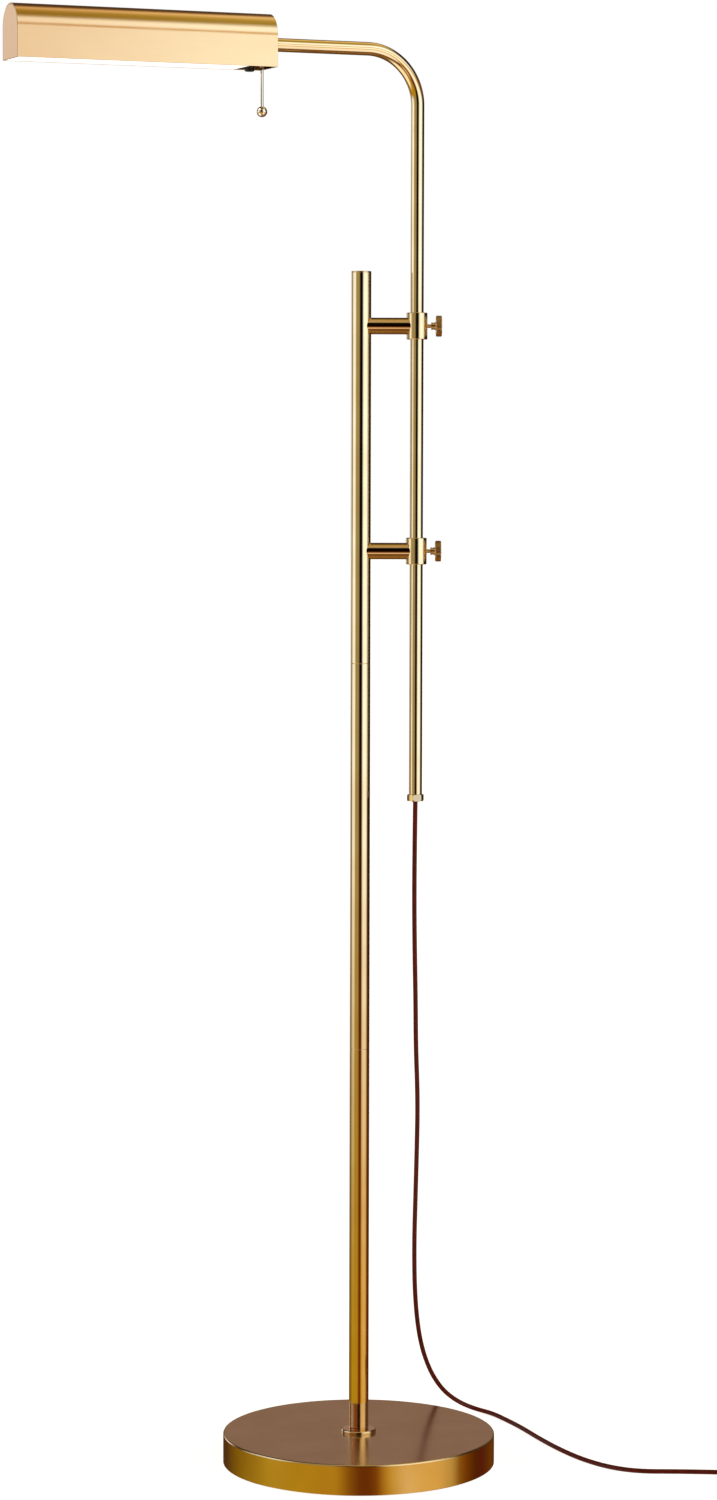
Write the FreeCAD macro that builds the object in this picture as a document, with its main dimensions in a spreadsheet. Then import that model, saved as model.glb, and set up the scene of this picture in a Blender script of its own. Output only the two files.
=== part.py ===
"""Adjustable arm floor lamp: weighted foot, three-part post, two clamp brackets, height-adjustable
stem with a bent arm, tilting reading shade with a pull switch, and its free cord.

Millimetres, +Z up, origin at the centre of the foot's underside. The brackets point along +X, and
the arm points along -X, swung towards -Y by the swivel angle.
"""
import FreeCAD, Part
import math
import os
import re
import Sketcher

DOC = FreeCAD.newDocument("arm_floor_lamp")

SIZES = (
    # fits shared by the whole lamp
    ("running_fit", 0.05, "radial clearance of a turning or sliding fit"),
    ("seat_gap", 0.05, "clearance of a brazed or pressed seat"),
    ("panel_fit", 0.15, "clearance of a flat part between two walls"),
    # foot
    ("foot_radius", 132.0, "outside radius of the brass foot cover"),
    ("foot_height", 30.0, "top of the foot above the floor"),
    ("cover_wall", 1.2, "wall of the foot cover"),
    ("cover_lift", 0.8, "rim of the cover above the floor"),
    ("cover_edge", 1.6, "radius of the cover's top edge"),
    ("felt_thickness", 1.5, "felt under the foot"),
    ("felt_inset", 3.0, "felt edge inside the cover wall"),
    ("ballast_gap", 0.6, "iron ballast inside the cover wall"),
    ("ballast_floor", 14.0, "thickness of the ballast disc"),
    ("ballast_rim", 8.0, "width of the ballast's raised rim"),
    ("ballast_boss", 18.0, "radius of the ballast's centre boss"),
    ("nut_pocket_radius", 13.0, "pocket under the ballast for the nut"),
    ("nut_pocket_depth", 9.0, "depth of that pocket"),
    ("stud_radius", 5.0, "threaded tube through the foot"),
    ("stud_bore", 3.0, "bore radius of the threaded tube"),
    ("stud_below", 4.0, "lower end of the threaded tube above the floor"),
    ("foot_washer_radius", 11.0, "washer under the ballast"),
    ("foot_washer_thickness", 1.6, "washer under the ballast"),
    ("foot_nut_corner", 9.8, "corner radius of the foot nut"),
    ("foot_nut_height", 5.0, "height of the foot nut"),
    ("ring_radius", 17.0, "trim ring at the bottom of the post"),
    ("ring_height", 3.3, "trim ring at the bottom of the post"),
    ("ring_bevel", 1.1, "bevel of the trim ring's top edge"),
    # post
    ("post_radius", 9.525, "outside radius of the post tube"),
    ("post_wall", 1.2, "wall of the post tube"),
    ("post_top", 1154.0, "top of the post"),
    ("joiner_length", 36.0, "threaded joiner inside each post seam"),
    ("joiner_bore", 5.5, "bore radius of the joiners"),
    ("foot_bush_length", 25.0, "threaded bush in the bottom of the post"),
    ("plug_cap", 1.2, "lip of the post's top plug"),
    ("plug_depth", 12.0, "spigot of the post's top plug"),
    # brackets
    ("stem_offset", 53.2, "stem axis beside the post axis"),
    ("bracket_radius", 7.94, "radius of the bracket arms"),
    ("upper_bracket", 1102.0, "height of the upper bracket"),
    ("lower_bracket", 887.4, "height of the lower bracket"),
    ("collar_radius", 10.0, "radius of the clamp collars"),
    ("collar_height", 25.4, "height of the clamp collars"),
    ("collar_bevel", 0.5, "bevel of the collar edges"),
    ("bracket_screw_radius", 2.4, "screw that holds a bracket from inside the post"),
    ("bracket_screw_head", 3.8, "head radius of that screw"),
    ("bracket_screw_head_depth", 2.8, "head thickness of that screw"),
    ("bracket_screw_length", 13.0, "shank of that screw"),
    ("shoe_radius", 1.9, "clamp shoe and thumbscrew shank"),
    ("shoe_length", 2.0, "clamp shoe"),
    ("clamp_neck", 3.6, "bare thumbscrew shank outside the collar"),
    ("knob_hub_radius", 3.5, "hub of the thumb knob"),
    ("knob_hub_length", 4.6, "hub of the thumb knob"),
    ("knob_radius", 10.0, "disc of the thumb knob"),
    ("knob_thickness", 5.6, "disc of the thumb knob"),
    ("knob_bevel", 0.5, "bevel of the knob disc"),
    # stem and arm
    ("stem_radius", 6.35, "outside radius of the stem tube"),
    ("stem_wall", 1.0, "wall of the stem tube"),
    ("stem_bottom", 653.3, "lower end of the stem tube"),
    ("bend_radius", 51.5, "centre-line radius of the bend"),
    ("arm_height", 1362.0, "axis of the horizontal arm"),
    ("swivel", 22.0, "arm swung forward from the bracket line, degrees"),
    ("shade_start", 151.5, "near end of the shade from the stem axis"),
    ("end_nut_corner", 8.25, "corner radius of the nut under the stem"),
    ("end_nut_height", 6.3, "height of the nut under the stem"),
    ("end_nut_spigot", 11.7, "spigot of that nut inside the stem"),
    ("cord_radius", 2.25, "radius of the mains cord"),
    ("bushing_wall", 0.9, "wall of the cord bushing"),
    ("bushing_tail", 1.0, "bushing below the end nut"),
    ("bushing_flange", 1.6, "width and thickness of the bushing's flange"),
    ("lead_start", 3.0, "cord end above the end nut's lower face"),
    # shade pivot
    ("pivot_radius", 5.3, "threaded tube that carries the shade"),
    ("pivot_bore", 2.6, "bore radius of that tube"),
    ("pivot_grip", 12.5, "length of that tube inside the arm"),
    ("pivot_washer_radius", 8.6, "washers on each side of the shade's end"),
    ("friction_washer_thickness", 1.0, "washer between the arm and the shade"),
    ("spring_washer_thickness", 1.2, "washer inside the shade"),
    ("pivot_nut_corner", 8.2, "corner radius of the pivot nut"),
    ("pivot_nut_height", 5.0, "height of the pivot nut"),
    ("pivot_end", 3.0, "pivot tube beyond its nut"),
    # shade
    ("shade_length", 254.0, "length of the shade"),
    ("shade_width", 44.0, "width of the shade"),
    ("shade_height", 50.5, "height of the shade"),
    ("shade_wall", 1.0, "wall of the shade shell"),
    ("shade_below", 22.5, "shade's open edge below the arm axis"),
    ("cap_thickness", 1.5, "end caps"),
    ("bay_length", 26.0, "open switch bay behind the near end cap"),
    ("divider_thickness", 1.0, "partition between bay and light"),
    ("lead_radius", 1.6, "lead from the pivot tube to the driver"),
    ("lead_hole", 3.2, "hole radius in the partition for the lead"),
    ("diffuser_thickness", 2.8, "diffuser sheet"),
    ("diffuser_recess", 0.2, "diffuser above the shade's open edge"),
    ("reflector_height", 14.0, "white tray above the diffuser"),
    ("reflector_wall", 0.8, "wall of the tray"),
    ("reflector_inset", 0.6, "tray inside the shade walls"),
    ("board_width", 14.0, "light board"),
    ("board_thickness", 1.2, "light board"),
    ("board_inset", 8.0, "light board inside the tray's ends"),
    ("chip_size", 5.0, "light chip"),
    ("chip_thickness", 0.8, "light chip"),
    ("spreader_width", 30.0, "aluminium bar above the tray"),
    ("spreader_thickness", 3.0, "aluminium bar above the tray"),
    ("driver_length", 70.0, "driver module"),
    ("driver_width", 20.0, "driver module"),
    ("driver_height", 12.0, "driver module"),
    ("driver_start", 12.0, "driver module beyond the partition"),
    # pull switch
    ("switch_length", 15.0, "switch body along the shade"),
    ("switch_width", 15.0, "switch body across the shade"),
    ("switch_top", 14.0, "switch body's top above the open edge"),
    ("switch_base", 1.0, "switch body's underside above the open edge"),
    ("boss_drop", 3.2, "switch boss below the open edge"),
    ("boss_radius", 4.6, "switch boss"),
    ("pull_reach", 7.5, "pull axis from the shade's near end"),
    ("nose_width", 5.6, "switch nose that guides the plunger"),
    ("nose_base", 8.5, "underside of the switch nose above the open edge"),
    ("nose_top", 13.6, "top of the switch nose above the open edge"),
    ("plunger_radius", 0.95, "plunger wire"),
    ("plunger_depth", 4.5, "plunger inside the nose"),
    ("plunger_eye", 1.3, "centre-line radius of the plunger's eye"),
    ("plunger_eye_wire", 0.5, "wire radius of that eye"),
    ("plunger_eye_height", 6.5, "plunger eye above the open edge"),
    ("link_radius", 2.0, "centre-line radius of the link ring"),
    ("link_wire", 0.45, "wire radius of the link ring"),
    ("rod_radius", 1.55, "pull rod"),
    ("rod_eye", 1.5, "centre-line radius of the rod's eye"),
    ("rod_eye_wire", 0.6, "wire radius of the rod's eye"),
    ("ball_radius", 5.0, "ball on the pull rod"),
    ("ball_drop", 40.0, "ball's centre below the shade's open edge"),
    ("ball_socket", 3.0, "depth of the rod in the ball"),
    # plug and stored cord
    ("coil_x", 396.0, "centre of the stored coil"),
    ("coil_y", -24.0, "centre of the stored coil"),
    ("coil_radius", 26.0, "middle of the coil's turns"),
    ("coil_half_band", 7.0, "half width of the coil's band"),
    ("coil_height", 12.4, "height of the coil"),
    ("coil_edge", 2.0, "rounding of the coil's edges"),
    ("plug_x", 419.0, "plug's line beside the coil"),
    ("plug_y", 34.0, "cord end of the plug"),
    ("plug_length", 30.0, "plug body"),
    ("plug_width", 22.0, "plug body"),
    ("plug_height", 13.0, "plug body"),
    ("plug_edge", 2.5, "rounding of the plug body"),
    ("relief_length", 16.0, "strain relief of the plug"),
    ("relief_tip", 3.4, "thin end of the strain relief"),
    ("relief_root", 5.2, "thick end of the strain relief"),
    ("blade_spacing", 12.7, "between the plug's blades"),
    ("blade_width", 6.4, "plug blade"),
    ("blade_thickness", 1.5, "plug blade"),
    ("blade_length", 17.0, "plug blade outside the plug"),
)

CHIP_COUNT = 10

# How near an edge must be to the place it is looked for at.
FOUND_WITHIN = 0.01

# How far a swept volume may be from its section times its length, as a share.
VOLUME_WITHIN = 0.01

# Share of the shorter of two runs that the arc between them takes up.
ARC_SHARE = 0.45

# The free cord: out of the stem, down behind the foot, and over the floor to the stored coil.
FREE_CORD = (
    (53.2, 0.0, 649.9), (52.7, 0.0, 604.0), (52.5, 1.5, 551.0), (53.2, 5.0, 501.0), (54.4, 11.0, 452.0),
    (55.0, 19.0, 407.0), (57.4, 30.0, 351.0), (57.0, 43.0, 300.0), (56.2, 58.0, 248.0), (55.6, 77.0, 196.0),
    (57.2, 98.0, 140.0), (62.5, 119.0, 94.0), (72.5, 142.0, 59.0), (86.0, 165.0, 33.0), (101.5, 182.0, 16.5),
    (119.0, 190.5, 6.5), (139.0, 184.0, 2.6), (150.0, 162.0, 2.3), (165.0, 127.5, 2.3), (181.0, 81.0, 2.3),
    (199.0, 36.0, 2.3), (219.0, -3.0, 2.3), (243.0, -33.0, 2.3), (270.0, -48.0, 2.3), (304.0, -48.5, 2.3),
    (341.0, -51.0, 2.3), (377.5, -49.4, 2.3),
)

# The short end of the cord from the coil to the plug.
CORD_TAIL = (
    (422.3, -7.0, 2.3), (421.8, 1.0, 3.3), (420.2, 9.5, 5.5), (419.0, 18.0, 6.5),
)


def fill_sheet():
    """Write every driving size to the sheet under its own name."""
    sheet = DOC.addObject("Spreadsheet::Sheet", "Sizes")
    for row, (name, value, note) in enumerate(SIZES, start=1):
        sheet.set("A%d" % row, name)
        sheet.set("B%d" % row, repr(value))
        sheet.set("C%d" % row, note)
        sheet.setAlias("B%d" % row, name)
    DOC.recompute()
    return sheet


SHEET = fill_sheet()

# Height of the driver's lead and of its hole in the partition, from the arm axis.
LEAD_HEIGHT = ("diffuser_recess + diffuser_thickness + reflector_height + spreader_thickness"
               " + driver_height / 2 - shade_below")


def size(name):
    """Value of one size, for the few shapes that are made directly."""
    return float(SHEET.get(name))


def named(text):
    """Turn the plain size names in an expression into references to the sheet."""
    return re.sub(r"\b([a-z]+_[a-z_]+|swivel)\b(?!\()", r"Sizes.\1", text)


def bind(item, **expressions):
    """Bind properties of an object to expressions of the sizes."""
    for prop, text in expressions.items():
        item.setExpression(prop, named(text))
    return item


def put(item, x="0", y="0", z="0", turn=None):
    """Place an object, optionally turned about Z by an angle in degrees."""
    for axis, text in zip("xyz", (x, y, z)):
        if text != "0":
            item.setExpression("Placement.Base." + axis, named(text))
    if turn:
        item.Placement.Rotation = FreeCAD.Rotation(FreeCAD.Vector(0, 0, 1), 1)
        item.setExpression("Placement.Rotation.Angle", named(turn))
    return item


def put_on_head(item):
    """Place a piece in the head's frame: origin on the stem axis at arm height, X out along the arm."""
    return put(item, x="stem_offset", z="arm_height", turn="180 + swivel")


def box(name, length, width, height, x="0", y="0", z="0"):
    """Box that starts at x, is centred on y and starts at z."""
    item = DOC.addObject("Part::Box", name)
    bind(item, Length=length, Width=width, Height=height)
    return put(item, x=x, y="%s - (%s) / 2" % (y, width), z=z)


def bar(name, radius, length, x="0", y="0", z="0", along="Z"):
    """Round bar from a point along one of the axes."""
    item = DOC.addObject("Part::Cylinder", name)
    bind(item, Radius=radius, Height=length)
    if along == "X":
        item.Placement.Rotation = FreeCAD.Rotation(FreeCAD.Vector(0, 1, 0), 90)
    return put(item, x=x, y=y, z=z)


def ring(name, radius, wire, x="0", z="0", facing="Y"):
    """Wire ring whose hole looks along one of the axes."""
    item = DOC.addObject("Part::Torus", name)
    bind(item, Radius1=radius, Radius2=wire)
    axis = FreeCAD.Vector(1, 0, 0) if facing == "Y" else FreeCAD.Vector(0, 1, 0)
    item.Placement.Rotation = FreeCAD.Rotation(axis, 90)
    return put(item, x=x, z=z)


def cut(name, base, *tools):
    """Cut one or more tools from a base."""
    item = DOC.addObject("Part::Cut", name)
    item.Base = base
    item.Tool = tools[0] if len(tools) == 1 else fuse(name + "_tools", *tools)
    return item


def fuse(name, *pieces):
    """Join pieces into one solid."""
    item = DOC.addObject("Part::MultiFuse", name)
    item.Shapes = list(pieces)
    item.Refine = True
    return item


def origin_plane(body, role):
    """One of a body's own origin planes."""
    return next(feature for feature in body.Origin.OriginFeatures if feature.Role == role)


def new_body(label):
    body = DOC.addObject("PartDesign::Body", label)
    body.Label = label
    return body


def new_sketch(body, name, role):
    sketch = body.newObject("Sketcher::SketchObject", name)
    sketch.AttachmentSupport = [(origin_plane(body, role), "")]
    sketch.MapMode = "FlatFace"
    return sketch


def fix_point(sketch, line, end, x, y):
    """Hold one end of a line at a place given by two expressions."""
    for kind, axis, text in (("DistanceX", -2, x), ("DistanceY", -1, y)):
        if text == "0":
            sketch.addConstraint(Sketcher.Constraint("PointOnObject", line, end, axis))
            continue
        index = sketch.addConstraint(Sketcher.Constraint(kind, -1, 1, line, end, 1.0 + line))
        sketch.setExpression("Constraints[%d]" % index, named(text))


def outline(body, name, role, corners):
    """Closed outline of straight lines through corners given by expressions."""
    sketch = new_sketch(body, name, role)
    count = len(corners)
    angles = [2 * math.pi * i / count for i in range(count)]
    spots = [FreeCAD.Vector(20 + 9 * math.cos(angle), 20 + 9 * math.sin(angle), 0) for angle in angles]
    for i in range(count):
        sketch.addGeometry(Part.LineSegment(spots[i], spots[(i + 1) % count]), False)
    for i in range(count):
        sketch.addConstraint(Sketcher.Constraint("Coincident", i, 2, (i + 1) % count, 1))
    for i, (x, y) in enumerate(corners):
        fix_point(sketch, i, 1, x, y)
    return sketch


def turned(label, corners, along="Z"):
    """Turned piece: corners are (radius, height) about Z, or (distance, radius) about X."""
    body = new_body(label)
    sketch = outline(body, label + "_outline", "XZ_Plane", corners)
    spin = body.newObject("PartDesign::Revolution", label + "_turning")
    spin.Profile = sketch
    spin.ReferenceAxis = (sketch, ["V_Axis" if along == "Z" else "H_Axis"])
    spin.Angle = 360
    return body


def sleeve(label, inner, outer, low, high, along="Z"):
    """Plain turned sleeve between two heights."""
    if along == "Z":
        corners = ((inner, low), (outer, low), (outer, high), (inner, high))
    else:
        corners = ((low, inner), (high, inner), (high, outer), (low, outer))
    return turned(label, corners, along)


def pin(label, radius, low, high):
    """Plain turned disc or pin on the axis."""
    return turned(label, (("0", low), (radius, low), (radius, high), ("0", high)))


def arch_sketch(body, name, half_width, low, shoulder):
    """Arch outline across the shade: flat bottom, straight sides and a half-round top."""
    sketch = new_sketch(body, name, "YZ_Plane")
    left, right, top = -20.0, 20.0, 6.0
    corners = [FreeCAD.Vector(left, -20, 0), FreeCAD.Vector(right, -20, 0),
               FreeCAD.Vector(right, top, 0), FreeCAD.Vector(left, top, 0)]
    sketch.addGeometry(Part.LineSegment(corners[0], corners[1]), False)
    sketch.addGeometry(Part.LineSegment(corners[1], corners[2]), False)
    circle = Part.Circle(FreeCAD.Vector(0, top, 0), FreeCAD.Vector(0, 0, 1), right)
    sketch.addGeometry(Part.ArcOfCircle(circle, 0, math.pi), False)
    sketch.addGeometry(Part.LineSegment(corners[3], corners[0]), False)
    for first, second in ((0, 1), (1, 2), (2, 3), (3, 0)):
        sketch.addConstraint(Sketcher.Constraint("Coincident", first, 2, second, 1))
    for end in (1, 2):
        sketch.addConstraint(Sketcher.Constraint("Horizontal", 2, 3, 2, end))
    sketch.addConstraint(Sketcher.Constraint("PointOnObject", 2, 3, -2))
    for kind, line, end, start, text in (
            ("DistanceY", 2, 3, top, shoulder),
            ("DistanceX", 0, 2, right, half_width),
            ("DistanceY", 0, 2, -20.0, low),
            ("DistanceX", 0, 1, left, "-(%s)" % half_width),
            ("DistanceY", 0, 1, -20.0, low),
            ("DistanceX", 1, 2, right, half_width)):
        index = sketch.addConstraint(Sketcher.Constraint(kind, -1, 1, line, end, start))
        sketch.setExpression("Constraints[%d]" % index, named(text))
    return sketch


def arch_plate(label, inset, start, thickness):
    """Arch-shaped plate across the shade, inset from the shade's outside."""
    body = new_body(label)
    sketch = arch_sketch(body, label + "_outline", "shade_width / 2 - (%s)" % inset, "-shade_below",
                         "shade_height - shade_below - shade_width / 2")
    bind(sketch, **{"AttachmentOffset.Base.z": start})
    pad = body.newObject("PartDesign::Pad", label + "_pad")
    pad.Profile = sketch
    bind(pad, Length=thickness)
    return body


def bent_tube(label, outer, inner, drop, reach):
    """Tube that rises on Z, bends and runs out along X, in the head's frame."""
    body = new_body(label)
    path = new_sketch(body, label + "_path", "XZ_Plane")
    turn = Part.Circle(FreeCAD.Vector(50, -50, 0), FreeCAD.Vector(0, 0, 1), 50)
    path.addGeometry(Part.LineSegment(FreeCAD.Vector(0, -700, 0), FreeCAD.Vector(0, -50, 0)), False)
    path.addGeometry(Part.ArcOfCircle(turn, math.pi / 2, math.pi), False)
    path.addGeometry(Part.LineSegment(FreeCAD.Vector(50, 0, 0), FreeCAD.Vector(150, 0, 0)), False)
    path.addConstraint(Sketcher.Constraint("Coincident", 0, 2, 1, 2))
    path.addConstraint(Sketcher.Constraint("Coincident", 1, 1, 2, 1))
    for line, end in ((0, 1), (0, 2)):
        path.addConstraint(Sketcher.Constraint("PointOnObject", line, end, -2))
    path.addConstraint(Sketcher.Constraint("Horizontal", 2))
    for kind, line, end, start, text in (
            ("DistanceY", 0, 1, -700.0, "-(%s)" % drop),
            ("DistanceY", 0, 2, -50.0, "-bend_radius"),
            ("DistanceX", 1, 3, 50.0, "bend_radius"),
            ("DistanceY", 1, 3, -50.0, "-bend_radius"),
            ("DistanceX", 1, 1, 50.0, "bend_radius"),
            ("DistanceX", 2, 2, 150.0, reach)):
        index = path.addConstraint(Sketcher.Constraint(kind, -1, 1, line, end, start))
        path.setExpression("Constraints[%d]" % index, named(text))
    section = new_sketch(body, label + "_section", "XY_Plane")
    for radius in (outer, inner):
        if radius is None:
            continue
        index = section.addGeometry(Part.Circle(FreeCAD.Vector(0, 0, 0), FreeCAD.Vector(0, 0, 1), 5), False)
        section.addConstraint(Sketcher.Constraint("Coincident", index, 3, -1, 1))
        limit = section.addConstraint(Sketcher.Constraint("Radius", index, 5.0))
        section.setExpression("Constraints[%d]" % limit, named(radius))
    bind(section, **{"AttachmentOffset.Base.z": "-(%s)" % drop})
    sweep = body.newObject("PartDesign::AdditivePipe", label + "_sweep")
    sweep.Profile = section
    sweep.Spine = (path, ["Edge1", "Edge2", "Edge3"])
    return put_on_head(body)


def hex_nut(label, corner, height, bore, x="0", z="0", along="Z"):
    """Hexagon nut with a plain bore."""
    block = DOC.addObject("Part::Prism", label + "_block")
    block.Polygon = 6
    bind(block, Circumradius=corner, Height=height)
    if along == "X":
        block.Placement.Rotation = FreeCAD.Rotation(FreeCAD.Vector(0, 1, 0), 90)
    put(block, x=x, z=z)
    return cut(label, block, bar(label + "_bore", bore, height, x=x, z=z, along=along))


def arc_path(points):
    """Straight runs joined by tangent arcs as large as the runs allow."""
    places = [FreeCAD.Vector(*point) for point in points]
    edges = []
    radii = []
    start = places[0]
    for before, corner, after in zip(places, places[1:], places[2:]):
        inward = (before - corner).normalize()
        outward = (after - corner).normalize()
        turn = math.pi - inward.getAngle(outward)
        reach = ARC_SHARE * min((before - corner).Length, (after - corner).Length)
        radii.append(reach / math.tan(turn / 2))
        first = corner + inward * reach
        last = corner + outward * reach
        middle = (inward + outward).normalize()
        depth = radii[-1] * (1 / math.cos(turn / 2) - 1)
        edges.append(Part.LineSegment(start, first).toShape())
        edges.append(Part.Arc(first, corner + middle * depth, last).toShape())
        start = last
    edges.append(Part.LineSegment(start, places[-1]).toShape())
    return Part.Wire(edges), radii


def soft_tube(label, points, radius):
    """Round cord swept along straight runs and arcs; prints its radii and checks its volume."""
    path, radii = arc_path(points)
    start = FreeCAD.Vector(*points[0])
    heading = FreeCAD.Vector(*points[1]) - start
    section = Part.Wire(Part.makeCircle(radius, start, heading))
    item = DOC.addObject("Part::Feature", label)
    item.Label = label
    item.Shape = path.makePipeShell([section], True, False)
    expected = math.pi * radius ** 2 * path.Length
    print("%s: length %.1f, radii %s" % (label, path.Length, " ".join("%.0f" % value for value in radii)))
    if abs(item.Shape.Volume / expected - 1) > VOLUME_WITHIN:
        raise ValueError("%s does not have the volume of its section and length" % label)
    return item


def make_foot():
    """Brass cover over iron ballast, felt underneath, and the threaded tube that holds the post."""
    cover_inside = "foot_radius - cover_wall"
    cover_underside = "foot_height - cover_wall"
    ballast_edge = cover_inside + " - ballast_gap"
    hole = "stud_radius + running_fit"
    pocket_top = "felt_thickness + nut_pocket_depth"
    floor_top = "felt_thickness + ballast_floor"
    cover = turned("base_cover", (
        (hole, cover_underside), (cover_inside, cover_underside), (cover_inside, "cover_lift"),
        ("foot_radius", "cover_lift"), ("foot_radius", "foot_height"), (hole, "foot_height")))
    DOC.recompute()
    round_rim(cover)
    pieces = [cover]
    pieces.append(pin("base_felt", cover_inside + " - felt_inset", "0", "felt_thickness"))
    pieces.append(turned("base_ballast", (
        (hole, pocket_top), ("nut_pocket_radius", pocket_top), ("nut_pocket_radius", "felt_thickness"),
        (ballast_edge, "felt_thickness"), (ballast_edge, cover_underside),
        (ballast_edge + " - ballast_rim", cover_underside), (ballast_edge + " - ballast_rim", floor_top),
        ("ballast_boss", floor_top), ("ballast_boss", cover_underside), (hole, cover_underside))))
    pieces.append(sleeve("base_stud", "stud_bore", "stud_radius", "stud_below",
                         "foot_height + ring_height + foot_bush_length - 1"))
    pieces.append(sleeve("base_washer", hole, "foot_washer_radius", pocket_top + " - foot_washer_thickness",
                         pocket_top))
    pieces.append(hex_nut("base_nut", "foot_nut_corner", "foot_nut_height", hole,
                          z=pocket_top + " - foot_washer_thickness - foot_nut_height"))
    pieces.append(turned("foot_ring", (
        (hole, "foot_height"), ("ring_radius", "foot_height"),
        ("ring_radius", "foot_height + ring_height - ring_bevel"),
        ("ring_radius - ring_bevel", "foot_height + ring_height"), (hole, "foot_height + ring_height"))))
    return pieces


def round_rim(cover):
    """Round the cover's top outside edge."""
    turning = cover.Tip
    rim_names = ["Edge%d" % index for index, edge in enumerate(turning.Shape.Edges, start=1) if is_rim(edge)]
    if not rim_names:
        raise ValueError("the cover has no rim edge")
    rim = cover.newObject("PartDesign::Fillet", "base_cover_rim")
    rim.Base = (turning, rim_names)
    bind(rim, Radius="cover_edge")


def is_rim(edge):
    """True for the circle round the top of the cover's side."""
    curve = edge.Curve
    if not isinstance(curve, Part.Circle):
        return False
    return (abs(curve.Radius - size("foot_radius")) < FOUND_WITHIN
            and abs(curve.Center.z - size("foot_height")) < FOUND_WITHIN)


def make_post():
    """Three equal tubes on threaded joiners, with a bush at the foot and a plug at the top."""
    inside = "post_radius - post_wall"
    foot = "(foot_height + ring_height)"
    third = "(post_top - plug_cap - %s) / 3" % foot
    heights = [foot, "%s + %s" % (foot, third), "%s + 2 * %s" % (foot, third), "post_top - plug_cap"]
    pieces = []
    for name, low, high in zip(("post_lower", "post_middle"), heights, heights[1:]):
        pieces.append(sleeve(name, inside, "post_radius", low, high))
    blank = sleeve("post_upper_tube", inside, "post_radius", heights[2], heights[3])
    drills = [bar("post_drill_" + side, "bracket_screw_radius + running_fit", "post_radius + 1",
                  z=side + "_bracket", along="X") for side in ("upper", "lower")]
    pieces.append(cut("post_upper", blank, *drills))
    fitted = inside + " - seat_gap"
    for name, middle in (("lower_joiner", heights[1]), ("upper_joiner", heights[2])):
        pieces.append(sleeve(name, "joiner_bore", fitted, middle + " - joiner_length / 2",
                             middle + " + joiner_length / 2"))
    pieces.append(sleeve("post_foot_bush", "stud_radius + running_fit", fitted, foot,
                         foot + " + foot_bush_length"))
    pieces.append(turned("post_top_plug", (
        ("0", "post_top - plug_cap - plug_depth"), (fitted, "post_top - plug_cap - plug_depth"),
        (fitted, "post_top - plug_cap"), ("post_radius", "post_top - plug_cap"), ("post_radius", "post_top"),
        ("0", "post_top"))))
    return pieces


def make_bracket(side):
    """Arm coped to the post, clamp collar round the stem, hidden screw, shoe and thumb knob."""
    height = side + "_bracket"
    arm_blank = bar(side + "_arm_blank", "bracket_radius", "stem_offset", z=height, along="X")
    post_cope = bar(side + "_post_cope", "post_radius + seat_gap", "4 * bracket_radius",
                    z=height + " - 2 * bracket_radius")
    collar_cope = bar(side + "_collar_cope", "collar_radius + seat_gap", "4 * bracket_radius",
                      x="stem_offset", z=height + " - 2 * bracket_radius")
    seat = "sqrt((post_radius - post_wall) ^ 2 - bracket_screw_head ^ 2)"
    tapped = bar(side + "_tapped_hole", "bracket_screw_radius + running_fit",
                 seat + " + bracket_screw_length + 1", z=height, along="X")
    arm = cut(side + "_bracket_arm", arm_blank, post_cope, collar_cope, tapped)
    half = "collar_height / 2"
    bore = "stem_radius + running_fit"
    sleeve_body = turned(side + "_collar_blank", (
        (bore, "-" + half), ("collar_radius - collar_bevel", "-" + half),
        ("collar_radius", "collar_bevel - " + half), ("collar_radius", half + " - collar_bevel"),
        ("collar_radius - collar_bevel", half), (bore, half)))
    put(sleeve_body, x="stem_offset", z=height)
    drill = bar(side + "_collar_drill", "shoe_radius + running_fit", "collar_radius + 1", x="stem_offset",
                z=height, along="X")
    collar = cut(side + "_collar", sleeve_body, drill)
    head_end = seat + " - bracket_screw_head_depth - seat_gap"
    head_face = seat + " - seat_gap"
    tip = seat + " + bracket_screw_length"
    screw = turned(side + "_bracket_screw", (
        (head_end, "0"), (tip, "0"), (tip, "bracket_screw_radius"), (head_face, "bracket_screw_radius"),
        (head_face, "bracket_screw_head"), (head_end, "bracket_screw_head")), along="X")
    put(screw, z=height)
    shoe_start = "stem_radius + seat_gap"
    shoe_end = shoe_start + " + shoe_length"
    shoe = turned(side + "_clamp_shoe", (
        (shoe_start, "0"), (shoe_end, "0"), (shoe_end, "shoe_radius"),
        (shoe_start, "shoe_radius")), along="X")
    put(shoe, x="stem_offset", z=height)
    hub = "collar_radius + clamp_neck"
    socket = hub + " + knob_hub_length / 2"
    shank = turned(side + "_thumb_screw", (
        (shoe_end + " + seat_gap", "0"), (socket, "0"), (socket, "shoe_radius"),
        (shoe_end + " + seat_gap", "shoe_radius")), along="X")
    put(shank, x="stem_offset", z=height)
    disc = hub + " + knob_hub_length"
    face = disc + " + knob_thickness"
    knob = turned(side + "_thumb_knob", (
        (hub, "shoe_radius + seat_gap"), (socket + " + seat_gap", "shoe_radius + seat_gap"),
        (socket + " + seat_gap", "0"), (face, "0"), (face, "knob_radius - knob_bevel"),
        (face + " - knob_bevel", "knob_radius"), (disc + " + knob_bevel", "knob_radius"),
        (disc, "knob_radius - knob_bevel"), (disc, "knob_hub_radius"), (hub, "knob_hub_radius")), along="X")
    put(knob, x="stem_offset", z=height)
    return [arm, collar, screw, shoe, shank, knob]


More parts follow.
